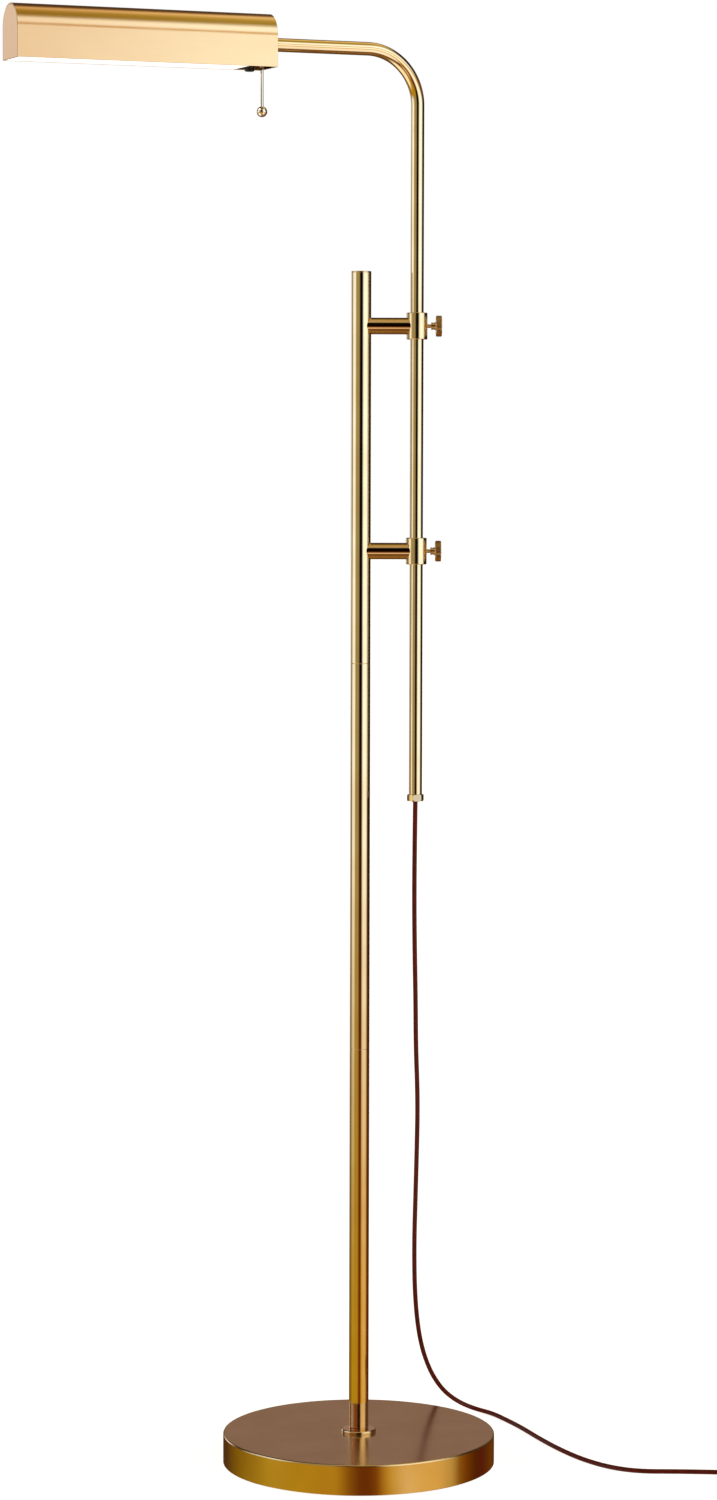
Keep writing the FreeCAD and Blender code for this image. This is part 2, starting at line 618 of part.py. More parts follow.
def make_stem():
    """Bent stem tube, its end nut, the bushing that the cord leaves through, and the lead inside."""
    arm_end = "shade_start - friction_washer_thickness"
    tube = bent_tube("stem_tube", "stem_radius", "stem_radius - stem_wall", "arm_height - stem_bottom",
                     arm_end)
    nut_low = "stem_bottom - end_nut_height"
    bushing_bore = "cord_radius + running_fit"
    bushing_outside = bushing_bore + " + bushing_wall"
    flange = bushing_outside + " + bushing_flange"
    nut_bore = bushing_outside + " + running_fit"
    head = hex_nut("end_nut_head", "end_nut_corner", "end_nut_height", nut_bore)
    spigot = sleeve("end_nut_spigot_tube", nut_bore, "stem_radius - stem_wall - seat_gap", "end_nut_height",
                    "end_nut_height + end_nut_spigot")
    nut = put(fuse("stem_end_nut", head, spigot), x="stem_offset", z=nut_low)
    top = "end_nut_height + end_nut_spigot + running_fit"
    bushing = turned("cord_bushing", (
        (bushing_bore, "-bushing_tail"), (bushing_outside, "-bushing_tail"), (bushing_outside, top),
        (flange, top), (flange, top + " + bushing_flange"), (bushing_bore, top + " + bushing_flange")))
    put(bushing, x="stem_offset", z=nut_low)
    lead = bent_tube("inner_lead", "cord_radius", None,
                     "arm_height - stem_bottom + end_nut_height - lead_start - seat_gap",
                     "shade_start + cap_thickness + spring_washer_thickness + pivot_nut_height + pivot_end")
    return [tube, nut, bushing, lead]


def make_pivot():
    """Threaded tube through the shade's end with its washers and nut."""
    inside = "shade_start + cap_thickness"
    fitted = "pivot_radius + running_fit"
    nut_start = inside + " + spring_washer_thickness"
    end = nut_start + " + pivot_nut_height + pivot_end"
    start = "shade_start - friction_washer_thickness"
    pieces = [
        sleeve("pivot_tube", "pivot_bore", "pivot_radius", start + " - pivot_grip", end, along="X"),
        sleeve("friction_washer", fitted, "pivot_washer_radius", start, "shade_start", along="X"),
        sleeve("spring_washer", fitted, "pivot_washer_radius", inside, nut_start, along="X"),
        hex_nut("pivot_nut", "pivot_nut_corner", "pivot_nut_height", fitted, x=nut_start, along="X"),
    ]
    return [put_on_head(piece) for piece in pieces]


def make_shade():
    """Arched shell, end caps, partition, diffuser, and the light unit above it."""
    shoulder = "shade_height - shade_below - shade_width / 2"
    shell = new_body("shade_shell")
    outside = arch_sketch(shell, "shell_outside", "shade_width / 2", "-shade_below", shoulder)
    bind(outside, **{"AttachmentOffset.Base.z": "shade_start"})
    pad = shell.newObject("PartDesign::Pad", "shell_pad")
    pad.Profile = outside
    bind(pad, Length="shade_length")
    inside = arch_sketch(shell, "shell_inside", "shade_width / 2 - shade_wall", "-shade_below - 1", shoulder)
    bind(inside, **{"AttachmentOffset.Base.z": "shade_start"})
    hollow = shell.newObject("PartDesign::Pocket", "shell_hollow")
    hollow.Profile = inside
    hollow.Reversed = True
    bind(hollow, Length="shade_length")
    far_end = "shade_start + shade_length"
    inset = "shade_wall + seat_gap"
    near_cap = cut("shade_near_cap", arch_plate("near_cap_plate", inset, "shade_start", "cap_thickness"),
                   bar("near_cap_hole", "pivot_radius + running_fit", "cap_thickness", x="shade_start",
                       along="X"))
    far_cap = arch_plate("shade_far_cap", inset, far_end + " - cap_thickness", "cap_thickness")
    divider_start = "shade_start + cap_thickness + bay_length"
    divider = cut("bay_partition", arch_plate("partition_plate", inset, divider_start, "divider_thickness"),
                  bar("partition_hole", "lead_hole", "divider_thickness", x=divider_start, z=LEAD_HEIGHT,
                      along="X"))
    light_start = divider_start + " + divider_thickness + panel_fit"
    light_length = "shade_length - 2 * cap_thickness - bay_length - divider_thickness - 2 * panel_fit"
    clear_width = "shade_width - 2 * shade_wall - 2 * panel_fit"
    diffuser = box("diffuser", light_length, clear_width, "diffuser_thickness", x=light_start,
                   z="diffuser_recess - shade_below")
    tray_low = "diffuser_recess + diffuser_thickness - shade_below"
    tray_width = clear_width + " - reflector_inset"
    tray_block = box("tray_block", light_length, tray_width, "reflector_height", x=light_start, z=tray_low)
    tray_hollow = box("tray_hollow", light_length + " - 2 * reflector_wall",
                      tray_width + " - 2 * reflector_wall", "reflector_height - reflector_wall",
                      x=light_start + " + reflector_wall", z=tray_low)
    tray = cut("reflector_tray", tray_block, tray_hollow)
    tray_ceiling = tray_low + " + reflector_height - reflector_wall"
    board_start = light_start + " + reflector_wall + board_inset"
    board_length = light_length + " - 2 * reflector_wall - 2 * board_inset"
    board = box("light_board", board_length, "board_width", "board_thickness", x=board_start,
                z=tray_ceiling + " - board_thickness")
    spreader = box("heat_spreader", board_length, "spreader_width", "spreader_thickness", x=board_start,
                   z=tray_ceiling + " + reflector_wall")
    driver = box("light_driver", "driver_length", "driver_width", "driver_height",
                 x=divider_start + " + driver_start",
                 z=tray_ceiling + " + reflector_wall + spreader_thickness")
    chips = make_chips(board_start, board_length, tray_ceiling)
    pieces = [shell, near_cap, far_cap, divider, diffuser, tray, board, spreader, driver, chips]
    return [head_box(piece) if piece.TypeId == "Part::Box" else put_on_head(piece) for piece in pieces]


def make_chips(board_start, board_length, tray_ceiling):
    """Row of light chips under the board, as one group of separate solids."""
    chips = []
    for i in range(CHIP_COUNT):
        middle = "%s + (%s) * %d / %d" % (board_start, board_length, 2 * i + 1, 2 * CHIP_COUNT)
        chips.append(box("chip_%d" % i, "chip_size", "chip_size", "chip_thickness",
                         x=middle + " - chip_size / 2",
                         z=tray_ceiling + " - board_thickness - chip_thickness"))
    group = DOC.addObject("Part::Compound", "light_chips")
    group.Links = chips
    return group


def head_box(item):
    """Wrap a box that is placed in the head's frame, so that it can be placed there as a whole."""
    label = item.Label
    item.Label = label + "_block"
    group = DOC.addObject("Part::Compound", item.Name + "_set")
    group.Links = [item]
    group.Label = label
    return put_on_head(group)


def make_switch():
    """Switch body with its boss and nose, sprung plunger, link ring, pull rod and ball."""
    partition = "shade_start + cap_thickness + bay_length"
    axis = "shade_start + pull_reach"
    body = box("switch_case", "switch_length", "switch_width", "switch_top - switch_base",
               x=partition + " - switch_length", z="switch_base - shade_below")
    boss = bar("switch_boss", "boss_radius", "switch_base + boss_drop",
               x=partition + " - switch_length / 2", z="-shade_below - boss_drop")
    nose = box("switch_nose", "%s - switch_length - (%s) + nose_width / 2" % (partition, axis), "nose_width",
               "nose_top - nose_base", x=axis + " - nose_width / 2", z="nose_base - shade_below")
    guide = bar("switch_guide", "plunger_radius + running_fit", "plunger_depth + running_fit", x=axis,
                z="nose_base - shade_below")
    switch = cut("pull_switch", fuse("switch_block", body, boss, nose), guide)
    eye_height = "plunger_eye_height - shade_below"
    eye = ring("plunger_eye_ring", "plunger_eye", "plunger_eye_wire", x=axis, z=eye_height)
    shaft_low = eye_height + " + plunger_eye"
    plunger_top = "nose_base + plunger_depth - shade_below"
    shaft = bar("plunger_shaft", "plunger_radius", "%s - (%s)" % (plunger_top, shaft_low), x=axis,
                z=shaft_low)
    plunger = fuse("switch_plunger", eye, shaft)
    link = ring("link_wire_ring", "link_radius", "link_wire", x=axis, z=eye_height + " - link_radius",
                facing="X")
    rod_eye_height = eye_height + " - 2 * link_radius"
    rod_loop = ring("rod_loop", "rod_eye", "rod_eye_wire", x=axis, z=rod_eye_height)
    ball_height = "-shade_below - ball_drop"
    ball_top = ball_height + " + ball_radius - ball_socket"
    shaft_length = "%s - rod_eye - (%s)" % (rod_eye_height, ball_top)
    rod_shaft = bar("rod_shaft", "rod_radius", shaft_length, x=axis, z=ball_top)
    rod = fuse("pull_rod", rod_loop, rod_shaft)
    sphere = DOC.addObject("Part::Sphere", "ball_blank")
    bind(sphere, Radius="ball_radius")
    put(sphere, x=axis, z=ball_height)
    socket = bar("ball_socket_bore", "rod_radius + seat_gap", "2 * ball_radius", x=axis,
                 z=ball_top + " - seat_gap")
    ball = cut("pull_ball", sphere, socket)
    link_set = DOC.addObject("Part::Compound", "pull_link")
    link_set.Links = [link]
    return [put_on_head(piece) for piece in (switch, plunger, link_set, rod, ball)]


def make_driver_lead():
    """Lead from the pivot tube's mouth through the partition to the driver, in the head's frame."""
    mouth = (size("shade_start") + size("cap_thickness") + size("spring_washer_thickness")
             + size("pivot_nut_height") + size("pivot_end") + size("seat_gap"))
    driver = size("shade_start") + size("cap_thickness") + size("bay_length") + size("driver_start")
    target = (size("diffuser_recess") + size("diffuser_thickness") + size("reflector_height")
              + size("spreader_thickness") + size("driver_height") / 2 - size("shade_below"))
    span = driver - size("seat_gap") - mouth
    points = ((mouth, 0.0, 0.0), (mouth + 0.2 * span, 0.0, 0.0), (mouth + 0.5 * span, 0.0, target),
              (driver - size("seat_gap"), 0.0, target))
    return put_on_head(soft_tube("driver_lead", points, size("lead_radius")))


def make_cord():
    """Free cord, stored coil, short tail, and the plug with its strain relief and blades."""
    radius = size("cord_radius")
    pieces = [soft_tube("power_cord", FREE_CORD, radius), soft_tube("cord_tail", CORD_TAIL, radius)]
    band = turned("cord_coil", coil_outline())
    pieces.append(put(band, x="coil_x", y="coil_y"))
    middle = "plug_height / 2"
    relief = DOC.addObject("Part::Cone", "plug_relief_cone")
    bind(relief, Radius1="relief_tip", Radius2="relief_root", Height="relief_length")
    relief.Placement.Rotation = FreeCAD.Rotation(FreeCAD.Vector(1, 0, 0), -90)
    put(relief, x="plug_x", y="plug_y - relief_length", z=middle)
    bore = bar("plug_relief_bore", "cord_radius + seat_gap", "relief_length", x="plug_x", y="plug_y",
               z=middle)
    bore.Placement.Rotation = FreeCAD.Rotation(FreeCAD.Vector(1, 0, 0), 90)
    pieces.append(cut("plug_relief", relief, bore))
    block = DOC.addObject("Part::Box", "plug_block")
    bind(block, Length="plug_width", Width="plug_length", Height="plug_height")
    put(block, x="plug_x - plug_width / 2", y="plug_y")
    rounded = DOC.addObject("Part::Fillet", "plug_body")
    rounded.Base = block
    DOC.recompute()
    rounded.Edges = [(index, size("plug_edge"), size("plug_edge")) for index in range(1, 13)]
    blades = []
    for name, sign in (("left", "-"), ("right", "+")):
        blade = DOC.addObject("Part::Box", "blade_" + name)
        bind(blade, Length="blade_thickness", Width="blade_length", Height="blade_width")
        put(blade, x="plug_x %s blade_spacing / 2 - blade_thickness / 2" % sign, y="plug_y + plug_length",
            z=middle + " - blade_width / 2")
        blades.append(blade)
    pair = DOC.addObject("Part::Compound", "plug_blades")
    pair.Links = blades
    return pieces + [rounded, pair]


def coil_outline():
    """Section of the stored coil: a band with bevelled edges."""
    inner = "coil_radius - coil_half_band"
    outer = "coil_radius + coil_half_band"
    return ((inner + " + coil_edge", "0"), (outer + " - coil_edge", "0"), (outer, "coil_edge"),
            (outer, "coil_height - coil_edge"), (outer + " - coil_edge", "coil_height"),
            (inner + " + coil_edge", "coil_height"), (inner, "coil_height - coil_edge"), (inner, "coil_edge"))


def write_parts(pieces):
    """Check the whole document and every piece, then write one file for each piece."""
    DOC.recompute()
    faults = ["%s %s" % (item.Name, item.State) for item in DOC.Objects
              if "Invalid" in item.State or "Error" in item.State]
    for piece in pieces:
        if piece.Shape.isNull() or not piece.Shape.isValid():
            faults.append(piece.Label + " has no valid shape")
    if faults:
        raise ValueError("; ".join(faults))
    os.makedirs("parts", exist_ok=True)
    for piece in pieces:
        piece.Shape.exportStep("parts/%s.step" % piece.Label)
    print("wrote %d parts" % len(pieces))


PIECES = (make_foot() + make_post() + make_bracket("upper") + make_bracket("lower") + make_stem()
          + make_pivot() + make_shade() + make_switch() + [make_driver_lead()] + make_cord())
write_parts(PIECES)
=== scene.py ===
"""Looks of the adjustable arm floor lamp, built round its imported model.

Metres, +Z up. The brackets point along +X. The arm and the shade are drawn in the head's own space:
x runs out along the arm from the stem's axis, y points to the front, and z is up from the arm's axis.
"""
from math import atan2, cos, pi, radians, sin, sqrt, tan, tau

import bmesh
import bpy
from mathutils import Matrix, Vector


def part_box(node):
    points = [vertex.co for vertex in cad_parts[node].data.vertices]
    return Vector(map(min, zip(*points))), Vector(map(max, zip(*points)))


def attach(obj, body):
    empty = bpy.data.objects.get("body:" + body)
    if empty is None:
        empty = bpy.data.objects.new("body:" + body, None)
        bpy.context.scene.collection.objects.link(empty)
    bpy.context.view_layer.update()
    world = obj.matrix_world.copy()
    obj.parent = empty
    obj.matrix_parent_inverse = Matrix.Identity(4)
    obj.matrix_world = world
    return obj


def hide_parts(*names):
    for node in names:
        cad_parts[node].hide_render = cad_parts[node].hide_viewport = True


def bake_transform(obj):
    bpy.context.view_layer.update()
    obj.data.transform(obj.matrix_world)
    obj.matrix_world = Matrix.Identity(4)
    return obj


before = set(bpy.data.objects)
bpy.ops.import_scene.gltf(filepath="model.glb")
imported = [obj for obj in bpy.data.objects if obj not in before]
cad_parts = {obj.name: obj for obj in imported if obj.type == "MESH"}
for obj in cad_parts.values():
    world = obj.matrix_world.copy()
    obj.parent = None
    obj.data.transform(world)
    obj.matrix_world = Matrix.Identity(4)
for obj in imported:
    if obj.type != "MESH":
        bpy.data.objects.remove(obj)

SCENE = bpy.context.scene
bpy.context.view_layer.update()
MM = 0.001

# Walls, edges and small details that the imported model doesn't carry.
COVER_WALL = 1.2 * MM
POST_WALL = 1.2 * MM
STUD_HOLE = 5.05 * MM
FIT = 0.05 * MM
COVER_EDGE = 1.6 * MM
TUBE_EDGE = 0.35 * MM
COLLAR_EDGE = 0.7 * MM
STEM_WALL = 1.0 * MM
BEND_RADIUS = 51.5 * MM
SHADE_WALL = 1.0 * MM
SHEET_EDGE = 0.25 * MM
KNURL_RIDGE = 0.34 * MM
KNURL_COUNT = 66
CORD_RADIUS = 2.25 * MM
NUT_TURN = radians(12)
WASHER_BORE = 5.35 * MM
WASHER_RADIUS = 8.6 * MM
TURNS_ROUND = 96

# The head's swing about the stem.
SWIVEL = radians(22)

# The wave node draws about this many waves in one unit of its scale.
WAVES = 3.1
# How much longer than wide a draw or brush line is, as a share.
DRAWN_OUT = 0.012


def linked(name, data):
    """New object in the scene."""
    thing = bpy.data.objects.new(name, data)
    SCENE.collection.objects.link(thing)
    return thing


def box(node):
    """Lowest and highest corner of a CAD node as vectors."""
    low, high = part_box(node)
    return Vector(low), Vector(high)


def middle(node):
    """Middle of a CAD node's box."""
    low, high = box(node)
    return (low + high) / 2


STEM_AXIS = middle("upper_collar").xy
POST_RADIUS = box("post_lower")[1].x
COLLAR_RADIUS = (box("upper_collar")[1].x - box("upper_collar")[0].x) / 2
STEM_RADIUS = 6.35 * MM
ARM_HEIGHT = box("stem_tube")[1].z - STEM_RADIUS
HEAD = Matrix.Translation((STEM_AXIS.x, STEM_AXIS.y, ARM_HEIGHT)) @ Matrix.Rotation(pi + SWIVEL, 4, "Z")
ALONG_X = Matrix.Rotation(pi / 2, 4, "Y")
ALONG_Y = Matrix.Rotation(-pi / 2, 4, "X")


def head_box(node):
    """Lowest and highest corner of a CAD node in the head's space."""
    inverse = HEAD.inverted()
    points = [inverse @ vertex.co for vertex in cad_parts[node].data.vertices]
    low = Vector([min(point[i] for point in points) for i in range(3)])
    high = Vector([max(point[i] for point in points) for i in range(3)])
    return low, high


# ---------------------------------------------------------------- camera

def make_camera():
    """Long lens at chest height, looking a little down at the lamp."""
    place = Vector((-0.05535, -3.878, 0.9966))
    down, turn, roll = radians(4.431), radians(0.793), radians(0.1313)
    forward = Vector((sin(turn) * cos(down), cos(turn) * cos(down), -sin(down)))
    level = Vector((cos(turn), -sin(turn), 0))
    upright = level.cross(forward)
    right = level * cos(roll) + upright * sin(roll)
    up = upright * cos(roll) - level * sin(roll)
    data = bpy.data.cameras.new("camera")
    data.sensor_fit = "VERTICAL"
    data.sensor_height = 36
    data.lens = 97.03
    data.clip_end = 60
    camera = linked("camera", data)
    camera.matrix_world = Matrix.Translation(place) @ Matrix((right, up, -forward)).transposed().to_4x4()
    SCENE.camera = camera


make_camera()


# ---------------------------------------------------------------- cord

# Out of the stem, down behind the foot, and over the floor to the stored coil.
FREE_CORD = (
    (53.2, 0, 649.9), (52.7, 0, 604), (52.5, 1.5, 551), (53.2, 5, 501), (54.4, 11, 452),
    (55, 19, 407), (57.4, 30, 351), (57, 43, 300), (56.2, 58, 248), (55.6, 77, 196),
    (57.2, 98, 140), (62.5, 119, 94), (72.5, 142, 59), (86, 165, 33), (101.5, 182, 16.5),
    (119, 190.5, 6.5), (139, 184, 2.6), (150, 162, 2.3), (165, 127.5, 2.3), (181, 81, 2.3),
    (199, 36, 2.3), (219, -3, 2.3), (243, -33, 2.3), (270, -48, 2.3), (304, -48.5, 2.3),
    (341, -51, 2.3), (362, -53.6, 2.3), (379, -55, 2.3),
)

# Off the top of the coil, over its lowest turn and into the plug.
CORD_TAIL = (
    (427, -15, 6.9), (426.4, -7, 5.2), (424, 1, 3.6), (421.4, 8.5, 4.6), (419.5, 14, 6.1),
    (419, 19, 6.5),
)

COIL_CENTRE = Vector((396.0, -24.0))
COIL_TURNS = 6.25
COIL_POINTS = 20
COIL_OUTER = 31.0
COIL_PITCH = 4.7
COIL_FLOOR = 2.3
COIL_LIFT = 4.6


def eased(turn, start, end):
    """0 before start, 1 after end, and a smooth change between them."""
    part = min(1.0, max(0.0, (turn - start) / (end - start)))
    return part * part * (3 - 2 * part)


def coil_turns():
    """Turns of the stored coil: three inwards on the floor, then back outwards on top of them."""
    points = []
    for step in range(int(COIL_TURNS * COIL_POINTS) + 1):
        turn = step / COIL_POINTS
        inward = eased(turn, 0.68, 0.95) + eased(turn, 1.68, 1.95)
        outward = eased(turn, 3.68, 3.95) + eased(turn, 4.68, 4.95)
        radius = COIL_OUTER - COIL_PITCH * (inward - outward)
        height = COIL_FLOOR + COIL_LIFT * eased(turn, 2.66, 2.97)
        angle = tau * turn - pi / 2
        points.append((COIL_CENTRE.x + radius * cos(angle), COIL_CENTRE.y + radius * sin(angle),
                       height))
    return tuple(points)


def make_cord_line():
    """Round cord along one smooth line (the route, the coil and the short end), and the line's points."""
    points = FREE_CORD + coil_turns() + CORD_TAIL
    curve = bpy.data.curves.new("mains_cord_line", "CURVE")
    curve.dimensions = "3D"
    spline = curve.splines.new("NURBS")
    spline.points.add(len(points) - 1)
    for point, place in zip(spline.points, points):
        point.co = (place[0] * MM, place[1] * MM, place[2] * MM, 1)
    spline.order_u = 3
    spline.use_endpoint_u = True
    spline.resolution_u = 8
    line = linked("mains_cord_line", curve)
    graph = bpy.context.evaluated_depsgraph_get()
    bare = bpy.data.meshes.new_from_object(line.evaluated_get(graph))
    path = [vertex.co.copy() for vertex in bare.vertices]
    curve.bevel_depth = CORD_RADIUS
    curve.bevel_resolution = 6
    curve.use_fill_caps = True
    graph.update()
    tube = bpy.data.meshes.new_from_object(line.evaluated_get(graph))
    bpy.data.objects.remove(line)
    return linked("mains_cord", tube), path


# ---------------------------------------------------------------- shapes

def softened(corners):
    """Outline through corners of (across, up, radius), each rounded by its own radius."""
    outline = []
    for before, corner, after in zip(corners[-1:] + corners[:-1], corners, corners[1:] + corners[:1]):
        here = Vector(corner[:2])
        radius = corner[2]
        if radius == 0:
            outline.append(here)
            continue
        back = (Vector(before[:2]) - here).normalized()
        ahead = (Vector(after[:2]) - here).normalized()
        half = back.angle(ahead) / 2
        centre = here + (back + ahead).normalized() * radius / sin(half)
        first = here + back * radius / tan(half) - centre
        last = here + ahead * radius / tan(half) - centre
        start = atan2(first.y, first.x)
        sweep = (atan2(last.y, last.x) - start + pi) % (tau) - pi
        steps = min(24, 3 + int(radius / (0.8 * MM)))
        for step in range(steps + 1):
            angle = start + sweep * step / steps
            outline.append(centre + radius * Vector((cos(angle), sin(angle))))
    return outline


def drawn(name, mesh):
    """Object from a bmesh, which is freed."""
    data = bpy.data.meshes.new(name)
    mesh.to_mesh(data)
    mesh.free()
    return linked(name, data)


def new_piece(name, mesh):
    """Object from a bmesh, with merged doubles and outward faces."""
    bmesh.ops.remove_doubles(mesh, verts=mesh.verts, dist=1e-7)
    bmesh.ops.recalc_face_normals(mesh, faces=mesh.faces)
    return drawn(name, mesh)


def baked(piece):
    """Give the piece its evaluated mesh and drop its modifiers."""
    graph = bpy.context.evaluated_depsgraph_get()
    data = bpy.data.meshes.new_from_object(piece.evaluated_get(graph), depsgraph=graph)
    piece.modifiers.clear()
    piece.data = data
    return piece


def finished(piece, sharp=40, bevel=0.0):
    """Smooth the faces between sharp edges, with a rolled edge where one is asked for."""
    if bevel:
        edges = piece.modifiers.new("edges", "BEVEL")
        edges.width = bevel
        edges.segments = 3
        edges.limit_method = "ANGLE"
        edges.angle_limit = radians(sharp)
        baked(piece)
    piece.data.polygons.foreach_set("use_smooth", [True] * len(piece.data.polygons))
    piece.data.set_sharp_from_angle(angle=radians(sharp))
    normals = piece.modifiers.new("normals", "WEIGHTED_NORMAL")
    normals.keep_sharp = True
    return baked(piece)


def loft(name, rings, closed=False):
    """Skin over rings of points, joined into a loop or covered at both ends."""
    mesh = bmesh.new()
    rows = [[mesh.verts.new(point) for point in ring] for ring in rings]
    pairs = list(zip(rows, rows[1:]))
    if closed:
        pairs.append((rows[-1], rows[0]))
    for row, following in pairs:
        for i in range(len(row)):
            j = (i + 1) % len(row)
            mesh.faces.new((row[i], row[j], following[j], following[i]))
    if not closed:
        for row in (rows[0], rows[-1]):
            if (row[0].co - row[len(row) // 2].co).length > 1e-6:
                mesh.faces.new(row)
    return new_piece(name, mesh)


def round_angles(count):
    """Angles of a count of even steps round a circle."""
    return [tau * step / count for step in range(count)]


def turned(name, outline, place, closed=True, round_steps=TURNS_ROUND):
    """Shape turned from an outline of (radius, height) about the place's own z."""
    return loft(name, [[place @ Vector((radius * cos(angle), radius * sin(angle), height))
                        for angle in round_angles(round_steps)] for radius, height in outline], closed)


def spun(name, corners, place, closed=True, round_steps=TURNS_ROUND):
    """Smooth turned shape with an outline of (radius, height, rounding) corners."""
    return finished(turned(name, softened(corners), place, closed, round_steps))


def pulled(name, outline, place, start, end):
    """Outline of (y, z) points drawn out along the place's own x."""
    return loft(name, [[place @ Vector((x, point[0], point[1])) for point in outline] for x in (start, end)])


def block(name, low, high, place, edge):
    """Block with rolled edges."""
    outline = ((low[1], low[2]), (high[1], low[2]), (high[1], high[2]), (low[1], high[2]))
    return finished(pulled(name, outline, place, low[0], high[0]), sharp=50, bevel=edge)


def wire_ring(name, centre, radius, wire, place, facing="Y"):
    """Round wire bent into a ring that faces along the place's own x or y."""
    rings = []
    for around in round_angles(48):
        out = Vector((cos(around), 0, sin(around)))
        side = Vector((0, 1, 0))
        if facing == "X":
            out = Vector((0, cos(around), sin(around)))
            side = Vector((1, 0, 0))
        rings.append([
            place @ (Vector(centre) + out * (radius + wire * cos(angle)) + side * wire * sin(angle))
            for angle in round_angles(16)])
    return loft(name, rings, closed=True)


def joined(name, pieces):
    """One piece from several, which are removed."""
    mesh = bmesh.new()
    for piece in pieces:
        mesh.from_mesh(piece.data)
        bpy.data.objects.remove(piece)
    return drawn(name, mesh)


# ---------------------------------------------------------------- geometry node trees

def new_tree(name, sizes):
    """Geometry tree with a mesh in and out and named sizes, and the sockets of what it is given."""
    tree = bpy.data.node_groups.new(name, "GeometryNodeTree")
    tree.interface.new_socket("Mesh", in_out="INPUT", socket_type="NodeSocketGeometry")
    for label, kind in (*sizes, ("Place", "Vector"), ("Turn", "Vector"), ("Material", "Material")):
        tree.interface.new_socket(label, in_out="INPUT", socket_type="NodeSocket" + kind)
    tree.interface.new_socket("Mesh", in_out="OUTPUT", socket_type="NodeSocketGeometry")
    return tree, add(tree, "NodeGroupInput").outputs


def add(tree, kind, inputs=None, **settings):
    """Add a node with its settings, values and links."""
    node = tree.nodes.new(kind)
    for key, value in settings.items():
        setattr(node, key, value)
    for key, value in (inputs or {}).items():
        if isinstance(value, bpy.types.NodeSocket):
            tree.links.new(value, node.inputs[key])
        else:
            node.inputs[key].default_value = value
    return node


def end_tree(tree, given, repeated):
    """Put what the tree repeats in its place, join it to the given mesh and set the material."""
    placed = add(tree, "GeometryNodeTransform",
                 {"Geometry": repeated, "Translation": given["Place"], "Rotation": given["Turn"]})
    real = add(tree, "GeometryNodeRealizeInstances", {"Geometry": placed.outputs["Geometry"]})
    both = add(tree, "GeometryNodeJoinGeometry")
    tree.links.new(real.outputs["Geometry"], both.inputs["Geometry"])
    tree.links.new(given["Mesh"], both.inputs["Geometry"])
    coated = add(tree, "GeometryNodeSetMaterial",
                 {"Geometry": both.outputs["Geometry"], "Material": given["Material"]})
    add(tree, "NodeGroupOutput", {"Mesh": coated.outputs["Geometry"]})
    return tree


def ridge_tree():
    """Straight knurl: round ridges set side by side round a knob's rim."""
    tree, given = new_tree("knurl_ridges", (
        ("Count", "Int"), ("Rim radius", "Float"), ("Ridge radius", "Float"), ("Ridge length", "Float")))
    rim = add(tree, "GeometryNodeMeshCircle", {"Vertices": given["Count"], "Radius": given["Rim radius"]})
    ridge = add(tree, "GeometryNodeMeshCylinder",
                {"Vertices": 8, "Radius": given["Ridge radius"], "Depth": given["Ridge length"]})
    ridges = add(tree, "GeometryNodeInstanceOnPoints",
                 {"Points": rim.outputs["Mesh"], "Instance": ridge.outputs["Mesh"]})
    return end_tree(tree, given, ridges.outputs["Instances"])


def thread_tree():
    """Screw thread: a small round ridge wound along a shank."""
    tree, given = new_tree("screw_thread", (
        ("Turns", "Float"), ("Shank radius", "Float"), ("Thread radius", "Float"), ("Length", "Float")))
    winding = add(tree, "GeometryNodeCurveSpiral", {
        "Resolution": 24, "Rotations": given["Turns"], "Start Radius": given["Shank radius"],
        "End Radius": given["Shank radius"], "Height": given["Length"]})
    section = add(tree, "GeometryNodeCurvePrimitiveCircle",
                  {"Resolution": 6, "Radius": given["Thread radius"]})
    thread = add(tree, "GeometryNodeCurveToMesh", {
        "Curve": winding.outputs["Curve"], "Profile Curve": section.outputs["Curve"], "Fill Caps": True})
    return end_tree(tree, given, thread.outputs["Mesh"])


def rib_tree():
    """Raised rings in a row along a moulded sleeve, each a little wider than the one before."""
    tree, given = new_tree("sleeve_ribs", (
        ("Count", "Int"), ("Spacing", "Float"), ("Ring radius", "Float"), ("Rib radius", "Float"),
        ("Growth", "Float")))
    step = add(tree, "ShaderNodeCombineXYZ", {"Z": given["Spacing"]})
    row = add(tree, "GeometryNodeMeshLine", {"Count": given["Count"], "Offset": step.outputs["Vector"]})
    circle = add(tree, "GeometryNodeCurvePrimitiveCircle", {"Resolution": 40, "Radius": given["Ring radius"]})
    section = add(tree, "GeometryNodeCurvePrimitiveCircle", {"Resolution": 8, "Radius": given["Rib radius"]})
    ring = add(tree, "GeometryNodeCurveToMesh",
               {"Curve": circle.outputs["Curve"], "Profile Curve": section.outputs["Curve"]})
    number = add(tree, "GeometryNodeInputIndex")
    wider = add(tree, "ShaderNodeMath", {0: number.outputs["Index"], 1: given["Growth"], 2: 1.0},
                operation="MULTIPLY_ADD")
    ribs = add(tree, "GeometryNodeInstanceOnPoints", {
        "Points": row.outputs["Mesh"], "Instance": ring.outputs["Mesh"], "Scale": wider.outputs["Value"]})
    return end_tree(tree, given, ribs.outputs["Instances"])


def grown(piece, tree, sizes):
    """Run a tree on a piece with the named sizes and keep the result as a plain mesh."""
    modifier = piece.modifiers.new(tree.name, "NODES")
    modifier.node_group = tree
    sockets = {item.name: item.identifier for item in tree.interface.items_tree if item.in_out == "INPUT"}
    for label, value in sizes.items():
        modifier[sockets[label]] = value
    piece.update_tag()
    return baked(piece)


# ---------------------------------------------------------------- materials

def linear(text):
    """Linear colour of an sRGB hex value."""
    channels = [int(text[i:i + 2], 16) / 255 for i in (1, 3, 5)]
    return [c / 12.92 if c <= 0.04045 else ((c + 0.055) / 1.055) ** 2.4 for c in channels] + [1.0]


